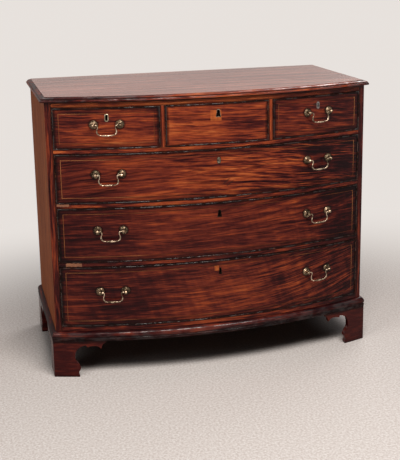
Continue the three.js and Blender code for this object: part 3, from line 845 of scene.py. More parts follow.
bracket = {
    "span": 163 * mm,
    "height": footHeight,
    "thick": 20 * mm,
    "out": 12 * mm,
    "toe": 0.48,
    "curve": [  # quadratic curves: a control point and an end point, shares of the span and of the height
        (0.48, 0.03, 0.48, 0.05), (0.45, 0.10, 0.475, 0.16), (0.49, 0.20, 0.505, 0.25),
        (0.50, 0.32, 0.455, 0.39), (0.405, 0.45, 0.405, 0.54), (0.40, 0.72, 0.48, 0.81),
        (0.54, 0.87, 0.61, 0.885), (0.625, 0.86, 0.64, 0.83), (0.73, 0.88, 0.82, 0.86),
        (0.87, 0.84, 0.90, 0.775), (0.915, 0.93, 1.0, 0.96),
    ],
    "curveSteps": 6,
    "slice": 13 * mm,  # cut so often, to follow the bow
    "sliceMargin": 3 * mm,  # no cut nearer to the mitre or the tip
    "bevel": 0.8 * mm,
    "blockSize": 28 * mm,
    "blockLift": 6 * mm,
    "blockLap": 0.3 * mm,
    "blockBevel": 1.5 * mm,
    "backThick": 18 * mm,
    "backToe": 84 * mm,
    "backSpan": 132 * mm,
    "backLap": 0.4 * mm,
    "backTongue": 35.3 * mm,  # the part behind the base moulding ends so far inside the chest's side
}


def bracketOutline():
    span, height = bracket["span"], bracket["height"]
    points = [(0.0, 0.0), (bracket["toe"] * span, 0.0)]
    lastX, lastZ = bracket["toe"], 0.0
    for controlX, controlZ, endX, endZ in bracket["curve"]:
        for step in range(1, bracket["curveSteps"] + 1):
            t = step / bracket["curveSteps"]
            x = (1 - t) ** 2 * lastX + 2 * t * (1 - t) * controlX + t * t * endX
            z = (1 - t) ** 2 * lastZ + 2 * t * (1 - t) * controlZ + t * t * endZ
            points.append((x * span, z * height))
        lastX, lastZ = endX, endZ
    return [*points, (span, height), (0.0, height)]


def joinInto(bm, part, material=0):
    for face in part.faces:
        face.material_index = material
    mesh = newMesh("join", part)
    bm.from_mesh(mesh)
    bpy.data.meshes.remove(mesh)


def addBracket(bm, place):
    thick, margin = bracket["thick"], bracket["sliceMargin"]
    part = bmesh.new()
    face = part.faces.new([part.verts.new((x, 0.0, z)) for x, z in bracketOutline()])
    raised = bmesh.ops.extrude_face_region(part, geom=[face])
    for vert in [item for item in raised["geom"] if isinstance(item, bmesh.types.BMVert)]:
        vert.co.y = thick
    for cutX in spread(thick + margin, bracket["span"] - margin, bracket["slice"]):
        every = [*part.verts, *part.edges, *part.faces]
        bmesh.ops.bisect_plane(part, geom=every, plane_co=(cutX, 0, 0), plane_no=(1, 0, 0), dist=1e-7)
    turnOutward(part)
    soften(part, steepEdges(part, 60), bracket["bevel"], 0.6)
    for vert in part.verts:
        along, inward, z = vert.co
        mitred = along + inward * max(0.0, 1.0 - along / thick)
        vert.co = place(mitred, inward, z)
    joinInto(bm, part)


def makeFrontFoot(side, sign):
    out, thick, lap, size = (bracket[key] for key in ("out", "thick", "blockLap", "blockSize"))
    outer = chest["halfWidth"] + out
    inner = outer - thick
    cornerY, innerY = bowY(outer, out), bowY(inner, out - thick)

    def alongFront(along, inward, z):
        x = outer - along
        return (sign * x, bowY(x, out - inward), z)

    def alongSide(along, inward, z):
        return (sign * (outer - inward), cornerY + along, z)

    bm = bmesh.new()
    addBracket(bm, alongFront)
    addBracket(bm, alongSide)
    glued = bmesh.new()
    left, right = sorted((sign * (inner + lap), sign * (inner - size)))
    block(glued, (left, innerY - lap, bracket["blockLift"]), (right, innerY + size, bracket["height"]))
    soften(glued, glued.edges[:], bracket["blockBevel"])
    joinInto(bm, glued, 1)
    makePiece("foot_front_" + side + "_bracket", bm, "carcass", [footFinish, pineUpright],
              ["foot_front_" + side])


def makeBackFoot(side, sign):
    outer, height, backY = chest["halfWidth"] + bracket["out"], bracket["height"], chest["backY"]
    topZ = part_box("foot_back_" + side)[1].z
    start, end = outer - bracket["backLap"], outer - bracket["backSpan"]
    tongue = chest["halfWidth"] - bracket["backTongue"]
    profile = [
        (start, 0.0), (outer - bracket["backToe"], 0.0), (end, height), (end, topZ), (tongue, topZ),
        (tongue, height), (start, height),
    ]

    def alongSide(along, inward, z):
        return (sign * (outer - inward), backY - along, z)

    bm = bmesh.new()
    addBracket(bm, alongSide)
    rear = bmesh.new()
    extrude(rear, [(sign * x, z) for x, z in profile], "y", backY - bracket["backThick"], backY)
    turnOutward(rear)
    soften(rear, rear.edges[:], bracket["bevel"])
    joinInto(bm, rear, 1)
    makePiece("foot_back_" + side + "_bracket", bm, "carcass", [footFinish, pineAcross],
              ["foot_back_" + side])


# Back boards with their nails, and the bare patches on two rails

backWork = {
    "planks": 3,
    "plankJoint": 0.03 * mm,
    "plankBevel": 0.9 * mm,
    "nailRows": [0.104, 0.5, 0.896],  # shares of a plank's height
    "nailInset": 9 * mm,
    "nailWander": (2 * mm, 4 * mm),
    "nailSunk": 0.2 * mm,
    "nailSides": 12,
    "nailDome": [(2.3, 0), (2.3, 0.3), (1.84, 0.6), (0.92, 0.8), (0, 0.85)],  # radius and height
    "patches": [  # rail, from, to, low and high share of the rail's height
        ("rail_middle", -0.4985, -0.4620, 0.42, 0.94),
        ("rail_lower", -0.4800, -0.4320, 0.12, 0.86),
    ],
    "patchStep": 3 * mm,
    "patchRise": 0.25 * mm,
    "patchSunk": 1 * mm,
    "ragged": 0.05,
}


def makeBackPlanks():
    low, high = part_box("back_boards")
    tall = (high.z - low.z) / backWork["planks"]
    bm = bmesh.new()
    for board in range(backWork["planks"]):
        foot = low.z + tall * board
        block(bm, (low.x, low.y, foot + backWork["plankJoint"]), (high.x, high.y, foot + tall))
    makePiece("backPlanks", bm, "carcass", plankFinishes, ["back_boards"], backWork["plankBevel"],
              pick=lambda face: min(2, int((face.calc_center_median().z - low.z) / tall)))
    wanderX, wanderZ = backWork["nailWander"]
    bm = bmesh.new()
    for board in range(backWork["planks"]):
        for share in backWork["nailRows"]:
            z = low.z + tall * (board + share)
            for x in (low.x + backWork["nailInset"], high.x - backWork["nailInset"]):
                nailX, nailZ = x + draw.uniform(-wanderX, wanderX), z + draw.uniform(-wanderZ, wanderZ)
                spot = Vector((nailX, high.y - backWork["nailSunk"], nailZ))
                turned(bm, inMetres(backWork["nailDome"]), spot, backwards, backWork["nailSides"])
    makePiece("backNails", bm, "carcass", [lockIron], even=False)


def makeBarePatches():
    rise, sunk = backWork["patchRise"], -backWork["patchSunk"]
    for node, start, end, lowShare, highShare in backWork["patches"]:
        low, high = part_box(node)
        rings = []
        for x in spread(start, end, backWork["patchStep"]):
            ragged = draw.uniform(-backWork["ragged"], backWork["ragged"])
            z0, z1 = (low.z + (high.z - low.z) * (share + ragged) for share in (lowShare, highShare))
            corners = [(rise, z0), (rise, z1), (sunk, z1), (sunk, z0)]
            rings.append([(x, bowY(x, out), z) for out, z in corners])
        bm = bmesh.new()
        skin(bm, rings)
        makePiece("barePatch_" + node, bm, "carcass", [bareFinish])


makeTop()
makeBoards()
makeBaseMoulding()
for side, sign in bothSides.items():
    makeFrontFoot(side, sign)
    makeBackFoot(side, sign)
makeBackPlanks()
makeBarePatches()
print("carcass built")


# Drawers

veneer = {"deep": 0.0, "wave": 0.6, "relief": 0.0008, "rough": 0.23}
# in each look, the darkening from one x to another is painted shade with some darker aged wood
drawers = {
    "short_left": {
        "keyhole": "brass",
        "stringing": True,
        "look": {
            "seed": 51.0, "lean": 0.02, "sway": 0.012, "lift": -0.03, "streak": 0.45, "contrast": 1.3,
            "middle": -0.34, "shades": [(-0.36, -0.50, 0.12), (-0.24, -0.19, 0.10)],
        },
    },
    "short_centre": {
        "keyhole": "broken",
        "stringing": False,
        "look": {
            "seed": 57.3, "lean": 0.05, "sway": 0.020, "lift": 0.11, "streak": 0.75, "contrast": 1.2,
            "clouds": [(0.085, 0.800, 0.10, 0.030, 0.22), (-0.12, 0.815, 0.05, 0.02, 0.15)],
            "patches": [(-0.0260, 0.0105, 0.8100, 0.8460, 0.75)],
        },
    },
    "short_right": {
        "keyhole": "iron",
        "stringing": True,
        "look": {
            "seed": 63.9, "lean": 0.09, "sway": 0.012, "lift": -0.01, "streak": 0.75, "contrast": 1.1,
            "middle": 0.34, "shades": [(0.26, 0.48, 0.26)], "scars": [(0.3315, 0.8375, 0.0, 0.0115, 0.0062)],
        },
    },
    "long_upper": {
        "keyhole": "dull",
        "stringing": True,
        "look": {
            "seed": 70.1, "lean": 0.03, "bend": 0.12, "sway": 0.030, "lift": 0.075, "streak": 0.85,
            "shades": [(0.05, 0.50, 0.37), (-0.18, -0.50, 0.23), (-0.22, 0.00, 0.05)],
            "swell": (-0.30, 0.15, 0.62, 1.44),
            "clouds": [(0.34, 0.685, 0.075, 0.022, 0.34), (0.445, 0.625, 0.05, 0.02, 0.26)],
            "scars": [
                (0.024, 0.6185, 0.70, 0.013, 0.0036), (0.036, 0.6115, 0.70, 0.014, 0.0036),
                (-0.017, 0.592, 0.4, 0.006, 0.0036),
            ],
        },
    },
    "long_middle": {
        "keyhole": "wide",
        "stringing": True,
        "look": {
            "seed": 76.4, "lean": -0.02, "sway": 0.024, "lift": -0.045, "streak": 0.65, "ripple": 0.30,
            "fan": (0.47, 0.9), "swell": (0.10, 0.40, 0.64, 1.02),
            "shades": [(0.15, 0.50, 0.32), (-0.15, -0.50, 0.22), (-0.22, 0.00, 0.065)],
        },
    },
    "long_lower": {
        "keyhole": "worn",
        "stringing": True,
        "look": {
            "seed": 88.8, "lean": -0.05, "bend": -0.07, "sway": 0.026, "lift": -0.035, "streak": 0.55,
            "ripple": 0.40, "turn": -0.14, "swell": (0.00, 0.42, 0.72, 1.25),
            "shades": [(0.22, 0.50, 0.30), (0.05, -0.45, 0.26), (-0.18, 0.05, 0.03)],
            "patches": [(-0.0200, -0.0040, 0.3270, 0.3450, 1.0)],
        },
    },
}
drawerFront = {
    "thick": 22 * mm,
    "backTrim": 0.1 * mm,
    "bead": 3.2 * mm,
    "beadLap": 0.4 * mm,  # the veneer runs so far under the bead
    # dirt and painted shade beside the cockbead, for the dark gap round the drawer
    "beadDirtAndShade": 4 * mm,
    "beadSection": [  # across and out, millimetres
        (0, -4.0), (0, 0.75), (0.25, 1.25), (0.75, 1.62), (1.6, 1.8), (2.45, 1.62), (2.95, 1.25),
        (3.2, 0.75), (3.2, -4.0),
    ],
    "beadWander": 0.10 * mm,
    "stringInset": 17.2 * mm,
    "stringSection": [(0, -0.5), (0, 0.07), (1.5, 0.07), (1.5, -0.5)],
    "borderShade": 0.45,
    "roseGrimeAndShade": 13.5 * mm,  # radius of the old polish and painted shadow round a rose
    "keyhole": (13 * mm, 2.0 * mm, 2.7 * mm),  # height, radius of the round top, width of the slot
    "keyholeDrop": {"short": 31 * mm, "long": 36 * mm},  # from the top edge to the middle of the hole
    "keyholeDepth": 9 * mm,
    "keyholeSteps": 20,
    "sawStart": 5 * mm,  # in front of the veneer
}


def frameOnBow(bm, edges, section, inset=0.0, jitter=0.0):
    left, right, low, high = edges
    stations = [(x, low, 0, 1) for x in spread(left, right)]
    stations += [(x, high, 0, -1) for x in spread(right, left)]
    rings = []
    for x, z, wayX, wayZ in stations:
        if x in (left, right):
            wayX = 1 if x == left else -1
        ring = []
        for across, out in section:
            reach = inset + across * mm
            wander = draw.uniform(-jitter, jitter)
            px = x + wayX * reach
            if not wayX:
                px = min(max(x, left + reach), right - reach)
            ring.append((px, bowY(px, out * mm + wander), z + wayZ * reach))
        rings.append(ring)
    skin(bm, rings, True)


def arcPoints(radius, middleZ, start, sweep, steps):
    turns = [start + sweep * i / steps for i in range(steps + 1)]
    return [(radius * math.cos(t), middleZ + radius * math.sin(t)) for t in turns]


def keyholeOutline():
    height, radius, slot = drawerFront["keyhole"]
    start = math.asin(slot / 2 / radius) - math.pi / 2
    over = arcPoints(radius, height / 2 - radius, start, math.pi - 2 * start, drawerFront["keyholeSteps"])
    return [*over, (-slot / 2, -height / 2), (slot / 2, -height / 2)]


def sawKeyhole(piece, x, z):
    face = bowY(x)
    outline = [(x + px, z + pz) for px, pz in keyholeOutline()]
    bm = bmesh.new()
    extrude(bm, outline, "y", face - drawerFront["sawStart"], face + drawerFront["keyholeDepth"])
    turnOutward(bm)
    saw = newObject("keyholeSaw", newMesh("keyholeSaw", bm))
    saw.data.materials.append(holeShadeFinish.material)
    cut = piece.modifiers.new("keyhole", "BOOLEAN")
    cut.object = saw
    cut.solver = "EXACT"
    cut.material_mode = "TRANSFER"
    graph = bpy.context.evaluated_depsgraph_get()
    sawn = bpy.data.meshes.new_from_object(piece.evaluated_get(graph))
    piece.modifiers.clear()
    bpy.data.objects.remove(saw)
    bm = bmesh.new()
    bm.from_mesh(sawn)
    markSharp(bm, 40)
    bm.to_mesh(sawn)
    bm.free()
    piece.data = sawn
    evenNormals(piece)


def moveIn(edges, by):
    left, right, bottom, top = edges
    return left + by, right - by, bottom + by, top - by


def makeFront(name, plan, body):
    low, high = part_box(name + "_front")
    edges = (low.x, high.x, low.z, high.z)
    bead = drawerFront["bead"]
    left, right, bottom, top = moveIn(edges, bead - drawerFront["beadLap"])
    back, trim = -drawerFront["thick"], drawerFront["backTrim"]
    section = [(0, bottom), (0, top), (back, high.z - trim), (back, low.z + trim)]
    bm = bmesh.new()
    skin(bm, [[(x, bowY(x, out), z) for out, z in section] for x in spread(left, right)])
    posts = [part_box(node) for node in frame["nodes"] if node.startswith("post_" + name)]
    look = {
        **veneer,
        **plan["look"],
        # dirt and painted shade along the cockbead, for the dark gap round the drawer
        "rim": (*moveIn(edges, bead), drawerFront["beadDirtAndShade"]),
        # old polish and painted shadow round each rose
        "rings": [((near.x + far.x) / 2, (near.z + far.z) / 2, drawerFront["roseGrimeAndShade"]) for near, far in posts],
    }
    if plan["stringing"]:
        look["border"] = (*moveIn(edges, drawerFront["stringInset"]), drawerFront["borderShade"])
    finishes = [mahogany("veneer_" + name, **look), coreFinish, holeShadeFinish]
    front = makePiece("veneered_" + name, bm, body, finishes, [name + "_front"], even=False,
                      pick=facesFront)
    middle = (low.x + high.x) / 2
    hole = high.z - drawerFront["keyholeDrop"][name.split("_")[0]]
    sawKeyhole(front, middle, hole)
    bm = bmesh.new()
    frameOnBow(bm, edges, drawerFront["beadSection"], 0.0, drawerFront["beadWander"])
    makePiece("cockbead_" + name, bm, body, [beadFinish], sharp=50)
    if plan["stringing"]:
        bm = bmesh.new()
        frameOnBow(bm, edges, drawerFront["stringSection"], drawerFront["stringInset"])
        makePiece("stringing_" + name, bm, body, [inlayFinish])
    makeEscutcheon(name, escutcheons[plan["keyhole"]], body, middle, hole)
    makeLock(name, body, middle, high.z)


plateShape = {
    "arcSteps": 14,
    "bellTop": 0.66,  # radius of the bell's round top as a share of half its width
    "bellOverrun": 0.15,  # radians that the round top goes past a half turn on each side
    "bellShoulder": 1.15,  # where the flare starts below the top, in radii
    "bellFlare": 1.6,
    "flareSteps": 5,
    "rimTop": (0.93, 1.08),  # how far the top of the rim draws in from outside and inside
    "rimFoot": -0.4 * mm,
    "rimInside": -0.2 * mm,
    "holeShare": (0.94, 0.97),  # the keyhole in the plate against the sawn one
    "plateRise": 0.07 * mm,
    "plateDepth": 6.5 * mm,
    "wellDepth": 6 * mm,
}


def pillOutline(halfWidth, halfHeight):
    over = arcPoints(halfWidth, halfHeight - halfWidth, 0.0, math.pi, plateShape["arcSteps"])
    return over + [(-x, -z) for x, z in over]


def bellOutline(halfWidth, halfHeight):
    radius, past = halfWidth * plateShape["bellTop"], plateShape["bellOverrun"]
    steps = plateShape["flareSteps"]
    over = arcPoints(radius, halfHeight - radius, -past, math.pi + 2 * past, plateShape["arcSteps"])
    shoulder = radius * plateShape["bellShoulder"]
    flare = []
    for share in (step / steps for step in range(1, steps + 1)):
        x = radius + (halfWidth - radius) * share ** plateShape["bellFlare"]
        flare.append((-x, halfHeight - shoulder - (2 * halfHeight - shoulder) * share))
    return [*over, *flare, *((-x, z) for x, z in reversed(flare))]


escutcheons = {  # outline, half width and height, rim and rise in millimetres, finish of rim and plate (a black plate is painted shade)
    "brass": (pillOutline, 6.0, 11.9, 2.4, 0.9, rimBrass, holeShadeFinish),
    "dull": (pillOutline, 6.2, 11.4, 1.9, 0.3, wornRim, dullBrass),
    "iron": (pillOutline, 5.4, 11.6, 1.2, 0.6, lockIron, lockIron),
    "worn": (bellOutline, 5.8, 11.6, 1.2, 0.1, wornRim, holeShadeFinish),
    "wide": (bellOutline, 8.0, 12.0, 1.2, 0.1, wornRim, holeShadeFinish),
    "broken": (bellOutline, 8.8, 12.2, 1.5, 0.4, dullBrass, holeShadeFinish),
}


def makeEscutcheon(name, plate, body, x, z):
    outlineOf, halfWidth, halfHeight, rim, rise, rimFinish, plateFinish = plate
    outer = outlineOf(halfWidth * mm, halfHeight * mm)
    inner = outlineOf((halfWidth - rim) * mm, (halfHeight - rim) * mm)
    outerTop, innerTop = plateShape["rimTop"]
    levels = [  # outline, growth, how far out
        (outer, 1.0, plateShape["rimFoot"]), (outer, 1.0, rise * mm / 2), (outer, outerTop, rise * mm),
        (inner, innerTop, rise * mm), (inner, 1.0, rise * mm / 2), (inner, 1.0, plateShape["rimInside"]),
    ]
    rings = []
    for outline, grow, out in levels:
        rings.append([(x + px * grow, bowY(x + px * grow, out), z + pz * grow) for px, pz in outline])
    bm = bmesh.new()
    skin(bm, rings, True)
    makePiece("escutcheon_" + name, bm, body, [rimFinish], sharp=60)

    well = bmesh.new()  # the plate inside the rim, with the keyhole's walls behind it
    shareX, shareZ = plateShape["holeShare"]
    keyhole = [(px * shareX, pz * shareZ) for px, pz in keyholeOutline()]
    rows = []
    for outline in (inner, keyhole):
        points = [(x + px, bowY(x + px, plateShape["plateRise"]), z + pz) for px, pz in outline]
        rows.append([well.verts.new(point) for point in points])
    loops = [well.edges.new(pair) for row in rows for pair in zip(row, row[1:] + row[:1])]
    bmesh.ops.triangle_fill(well, use_beauty=True, edges=loops, normal=(0, -1, 0))
    for material, (row, depth) in enumerate(zip(rows, (plateShape["plateDepth"], plateShape["wellDepth"]))):
        deep = [well.verts.new((vert.co.x, vert.co.y + depth, vert.co.z)) for vert in row]
        walls = [well.faces.new((row[i - 1], row[i], deep[i], deep[i - 1])) for i in range(len(row))]
        for face in [*walls, well.faces.new(deep)]:
            face.material_index = material
    makePiece("keyhole_" + name, well, body, [plateFinish, holeShadeFinish], even=False)


lock = {  # on the back of the drawer front
    "halfWide": 31 * mm,
    "tall": 44 * mm,
    "thick": 1.8 * mm,
    "down": 1 * mm,
    "seat": 0.2 * mm,
    "case": (0.72, 0.86),  # shares of the plate's width and height
    "caseThick": 8 * mm,
    "caseDown": 5 * mm,
    "bevel": 0.5 * mm,
    "screws": [(-0.86, 0.12), (-0.86, 0.88), (0.86, 0.12), (0.86, 0.88)],
    "screwHead": [(2.0, -0.2), (2.0, 0.3), (1.2, 0.8), (0, 0.9)],
    "screwSides": 14,
    "pinDown": 0.55,
    "pinHead": [(3.2, 0), (3.2, 0.5), (1.4, 0.9), (0, 0.95)],
    "pinSides": 18,
}


def makeLock(name, body, x, top):
    half, tall, thick, down = (lock[key] for key in ("halfWide", "tall", "thick", "down"))
    back = bowY(x, -drawerFront["thick"])
    wide, high = lock["case"]
    bm = bmesh.new()
    block(bm, (x - half, back - lock["seat"], top - tall - down), (x + half, back + thick, top - down))
    block(bm, (x - half * wide, back, top - tall * high),
          (x + half * wide, back + lock["caseThick"], top - lock["caseDown"]))
    soften(bm, bm.edges[:], lock["bevel"])
    for spotX, spotZ in lock["screws"]:
        spot = Vector((x + half * spotX, back + thick, top - down - tall * spotZ))
        turned(bm, inMetres(lock["screwHead"]), spot, backwards, lock["screwSides"])
    spot = Vector((x, back + lock["caseThick"], top - tall * lock["pinDown"]))
    turned(bm, inMetres(lock["pinHead"]), spot, backwards, lock["pinSides"])
    makePiece("lock_" + name, bm, body, [lockIron], even=False)


lining = {
    "sideThick": 9 * mm,
    "topRounding": [(0.0, -1.8), (0.35, -0.9), (1.1, -0.25), (2.6, 0.0)],  # in and up, millimetres
    "backThick": 8 * mm,
    "backLap": 0.1 * mm,
    "backInset": 0.3 * mm,
    "backDrop": 7 * mm,
    "backBevel": 0.8 * mm,
    "bottomRaise": 7 * mm,
    "bottomJoint": 0.25 * mm,
    "bottomGap": 0.3 * mm,
    "bottomBevel": 0.4 * mm,
    "boards": {"short": (2, pineLengthwise), "long": (4, pineAcross)},
    "dovetailPitch": 42 * mm,
    "jointRise": 0.12 * mm,  # the joints stand proud by so much
    "tail": 15 * mm,
    "tailLap": 0.5 * mm,
    "tailDepth": 3.6 * mm,
    "tailShare": (0.30, 0.40),  # half the width of a tail at its root and its end
    "tailBevel": 0.05 * mm,
    "pinShare": 0.12,
    "pinFlare": 0.07,
    "pinMargin": (1 * mm, 3 * mm),
    "pinLeast": 2 * mm,
    "pinDepth": 2 * mm,
    "pinProud": 0.05 * mm,
}


def makeLining(name, body):
    low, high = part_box(name + "_box")
    thick, lap, backY = lining["sideThick"], lining["backLap"], high.y
    edges = [(low.x, 1), (high.x, -1)]  # each side and the way inward
    bm = bmesh.new()
    for edge, sign in edges:
        inner = edge + sign * thick
        rounding = [(sign * inward * mm, high.z + up * mm) for inward, up in lining["topRounding"]]
        outside = [(edge, low.z), *((edge + inward, z) for inward, z in rounding)]
        inside = [*((inner - inward, z) for inward, z in reversed(rounding)), (inner, low.z)]
        extrude(bm, outside + inside, "y", bowY(edge, -drawerFront["thick"]), backY)
    makePiece("boxSides_" + name, bm, body, [oakLining], [name + "_box"], sharp=50)
    bm = bmesh.new()
    block(bm, (low.x + thick - lap, backY - lining["backThick"], low.z + lining["bottomRaise"]),
          (high.x - thick + lap, backY - lining["backInset"], high.z - lining["backDrop"]))
    makePiece("boxBack_" + name, bm, body, [oakAcross], bevel=lining["backBevel"])
    count = max(2, round((high.z - low.z) / lining["dovetailPitch"]))
    pitch = (high.z - low.z) / count
    makeTails(name, body, edges, [low.z + pitch * (i + 0.5) for i in range(count)], pitch)
    makePins(name, body, edges, low.z, high.z, [low.z + pitch * i for i in range(count + 1)], pitch, backY)


def makeTails(name, body, edges, heights, pitch):
    narrow, wide = (pitch * share for share in lining["tailShare"])
    bm = bmesh.new()
    for edge, sign in edges:
        face = bowY(edge, -drawerFront["thick"])
        root, end = face + lining["tailLap"], face - lining["tail"]
        for z in heights:
            outline = [(root, z - narrow), (end, z - wide), (end, z + wide), (root, z + narrow)]
            extrude(bm, outline, "x", edge - sign * lining["jointRise"], edge + sign * lining["tailDepth"])
    makePiece("frontTails_" + name, bm, body, [oakLining], bevel=lining["tailBevel"], even=False)


def makePins(name, body, edges, low, high, heights, pitch, backY):
    rise, half, flare = lining["jointRise"], pitch * lining["pinShare"], pitch * lining["pinFlare"]
    marginLow, marginHigh = lining["pinMargin"]
    back = backY + lining["pinProud"]
    front = back - lining["backThick"]
    bm = bmesh.new()
    for edge, sign in edges:
        near, far = sorted((edge, edge + sign * lining["sideThick"]))
        for middle in heights:
            z0, z1 = max(low + marginLow, middle - half), min(high - marginHigh, middle + half)
            if z1 - z0 < lining["pinLeast"]:
                continue
            outline = [(back, z0), (back, z1), (front, z1 + flare), (front, z0 - flare)]
            extrude(bm, outline, "x", edge - sign * rise, edge + sign * lining["pinDepth"])
            block(bm, (near, backY - lining["pinDepth"], z0), (far, backY + rise, z1))
    makePiece("backPins_" + name, bm, body, [oakEndGrain], even=False)


def makeBottom(name, body):
    low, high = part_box(name + "_bottom")
    count, finish = lining["boards"][name.split("_")[0]]
    width = (high.x - low.x) / count
    joint = lining["bottomJoint"]
    bm = bmesh.new()
    for i in range(count):
        x0, x1 = low.x + width * i + joint, low.x + width * (i + 1) - joint
        front = bowLine(x0, x1, -drawerFront["thick"] - lining["bottomGap"])
        extrude(bm, [*front, (x1, high.y), (x0, high.y)], "z", low.z, high.z)
    makePiece("bottomBoards_" + name, bm, body, [finish], [name + "_bottom"],
              bevel=lining["bottomBevel"])


for name, plan in drawers.items():
    makeFront(name, plan, "drawer_" + name)
    makeLining(name, "drawer_" + name)
    makeBottom(name, "drawer_" + name)
print("drawers built")


# Handles: turned posts with their roses, and swan-neck bails

handle = {
    "spacing": 80 * mm,
    "roseBack": 15.5 * mm,  # from the axis of the bail to the back of the rose
    "roseSides": 32,
    "profile": [  # radius and distance from the back of the rose, millimetres
        (0, 0), (12.85, 0), (13.0, 0.5), (12.95, 1.1), (12.6, 1.6), (12.1, 1.75), (11.6, 1.5), (11.25, 1.0),
        (10.8, 0.8), (10.35, 1.0), (10.0, 1.7), (9.5, 2.3), (8.9, 2.55), (8.35, 2.4), (8.0, 1.8), (7.6, 1.5),
        (7.2, 1.7), (6.95, 2.5), (6.5, 3.2), (5.9, 3.6), (5.3, 3.6), (4.9, 3.2), (4.5, 3.2), (4.15, 3.9),
        (3.8, 5.2), (3.55, 6.6), (3.45, 8.0), (3.55, 9.2), (3.9, 10.2), (4.5, 11.3), (5.1, 12.5), (5.5, 13.9),
        (5.7, 15.4), (5.55, 16.9), (5.1, 18.2), (4.4, 19.4), (3.5, 20.3), (2.6, 20.75), (2.2, 21.0),
        (1.8, 21.5), (1.0, 21.9), (0, 22.0),
    ],
    "grooves": [(10.2, 11.3), (7.1, 8.1), (4.2, 5.0)],  # radii between which the rose is black with dirt
    "grooveReach": 4,  # and no further out than this, millimetres
    "edgeRadius": 11.3,  # outside it the rose is dull
    "bailEnds": [(-42.2, 0.0), (-36.0, 0.0)],  # across and down, millimetres
    "bailCurve": [  # the swan neck, bezier curves
        ((-33.5, 0), (-29.1, 0), (-26.7, -1.6), (-26.7, -6.4)),
        ((-26.7, -6.4), (-26.7, -11.8), (-29.7, -12.3), (-29.7, -19.2)),
        ((-29.7, -19.2), (-29.7, -26.6), (-24.5, -31.0), (-15.4, -31.5)),
    ],
    "curveSteps": 24,
    "bailDrop": -32.0,
    "dropHalf": 15.4,  # half the length of the low stretch, and how much it curves
    "dropRise": 0.5,
    "dropSteps": 10,
    "radii": [  # share of half the length, radius in millimetres
        (0.0, 1.9), (0.12, 1.9), (0.17, 2.1), (0.22, 1.9), (0.30, 1.6), (0.36, 1.6), (0.44, 1.9), (0.52, 2.4),
        (0.58, 2.4), (0.64, 1.8), (0.70, 1.5), (0.76, 1.5), (0.81, 1.7), (0.87, 2.6), (0.93, 3.1), (1.0, 3.2),
    ],
    "beads": [(0.690, 0.016, 2.7), (0.785, 0.020, 3.1)],  # share, half length as a share, radius
    "beadStations": (-0.995, -0.9, -0.65, -0.3, 0.3, 0.65, 0.9, 0.995),
    "stations": 64,
    "closest": 0.05,  # points of the path nearer together are left out, millimetres
    "wayReach": 0.004,  # how far before and after a station its direction is taken, as a share
    "bailSides": 14,
    "nutSides": 8,
    "nutSeat": 0.4 * mm,
    "nut": [(5.2, 0), (5.2, 2.4), (4.472, 3.2), (2.2, 3.3), (2.2, 6), (1.6, 6.8), (0, 6.9)],
}


def bailPath():
    points = list(handle["bailEnds"])
    for a, b, c, d in handle["bailCurve"]:
        for step in range(handle["curveSteps"] + 1):
            t = step / handle["curveSteps"]
            weights = ((1 - t) ** 3, 3 * t * (1 - t) ** 2, 3 * t * t * (1 - t), t ** 3)
            points.append(tuple(sum(w * p[k] for w, p in zip(weights, (a, b, c, d))) for k in (0, 1)))
    for step in range(1, handle["dropSteps"] + 1):
        left = 1 - step / handle["dropSteps"]
        points.append((-handle["dropHalf"] * left, handle["bailDrop"] + handle["dropRise"] * left ** 2))
    kept = [points[0]]
    for point in points[1:]:
        if math.dist(point, kept[-1]) > handle["closest"]:
            kept.append(point)
    return kept


def walk(points, share):
    lengths = [math.dist(a, b) for a, b in zip(points, points[1:])]
    goal = share * sum(lengths)
    for (a, b), length in zip(zip(points, points[1:]), lengths):
        if goal <= length or b is points[-1]:
            t = min(1.0, goal / length)
            return tuple(a[k] + (b[k] - a[k]) * t for k in (0, 1))
        goal -= length


def bailRadius(share):
    table = handle["radii"]
    for (at, radius), (nextAt, nextRadius) in zip(table, table[1:]):
        if share <= nextAt:
            t = (share - at) / (nextAt - at)
            thick = radius + (nextRadius - radius) * t * t * (3 - 2 * t)
            break
    for middle, reach, radius in handle["beads"]:
        far = abs(share - middle) / reach
        if far < 1:
            thick = max(thick, radius * math.sqrt(1 - far * far))
    return thick


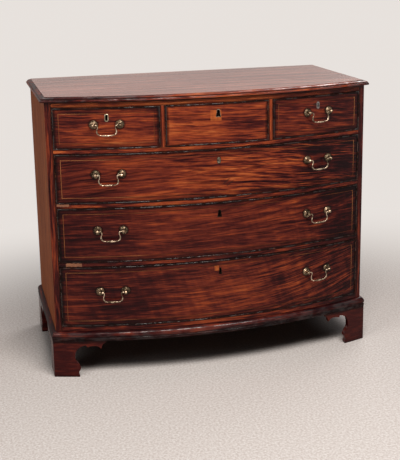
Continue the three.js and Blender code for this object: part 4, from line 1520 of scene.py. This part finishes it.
def bailStations():
    points, reach = bailPath(), handle["wayReach"]
    shares = {i / handle["stations"] for i in range(handle["stations"] + 1)}
    for middle, span, radius in handle["beads"]:
        shares |= {middle + span * k for k in handle["beadStations"]}
    half = []
    for share in sorted({round(share, 5) for share in shares}):
        before, after = walk(points, max(0, share - reach)), walk(points, min(1, share + reach))
        way = Vector((after[0] - before[0], after[1] - before[1])).normalized() if share < 1 else (1.0, 0.0)
        half.append((walk(points, share), way, bailRadius(share)))
    return half + [((-p[0], p[1]), (w[0], -w[1]), radius) for p, w, radius in reversed(half[:-1])]


def makeRose(name, body, place, side, sign):
    centre = Vector((sign * handle["spacing"] / 2, handle["roseBack"], 0))
    bm = bmesh.new()
    turned(bm, inMetres(handle["profile"]), centre, -backwards, handle["roseSides"])
    for face in bm.faces:
        middle = (face.calc_center_median() - centre) / mm
        radius = math.hypot(middle.x, middle.z)
        grooved = any(low < radius < high for low, high in handle["grooves"])
        if radius > handle["edgeRadius"]:
            face.material_index = 2
        elif grooved and -middle.y < handle["grooveReach"]:
            face.material_index = 1
    bm.transform(place)
    makePiece(f"rose_{name}_{side}", bm, body, [handleBrass, grooveBrass, roseEdge],
              [f"post_{name}_{side}"], sharp=60, even=False)


def makeBail(name, body, place):
    turns = [2 * math.pi * i / handle["bailSides"] for i in range(handle["bailSides"])]
    rings = []
    for (px, pz), (wayX, wayZ), radius in bailStations():
        ring = []
        for t in turns:
            across, out = radius * math.cos(t), radius * math.sin(t)
            ring.append(Vector((px - wayZ * across, out, pz + wayX * across)) * mm)
        rings.append(ring)
    bm = bmesh.new()
    skin(bm, rings)
    bm.transform(place)
    makePiece("swanBail_" + name, bm, body, [bailBrass], ["bail_" + name], sharp=60, even=False)


def makeNuts(name, body, place):
    seat = handle["roseBack"] + drawerFront["thick"] + handle["nutSeat"]
    bm = bmesh.new()
    for sign in bothSides.values():
        spot = Vector((sign * handle["spacing"] / 2, seat, 0))
        turned(bm, inMetres(handle["nut"]), spot, backwards, handle["nutSides"])
    bm.transform(place)
    makePiece("postNuts_" + name, bm, body, [handleBrass], sharp=35, even=False)


def makeHandle(name, joint):
    turn = math.atan2(-joint["axis"][1], -joint["axis"][0])
    place = Matrix.Translation(joint["pos_m"]) @ Matrix.Rotation(turn, 4, "Z")
    for side, sign in bothSides.items():
        makeRose(name, joint["parent"], place, side, sign)
    makeBail(name, joint["child"], place)
    makeNuts(name, joint["parent"], place)


for joint in frame["joints"]:
    if joint["type"] == "hinge":
        makeHandle(joint["name"].removesuffix("_bail"), joint)
print("handles built")
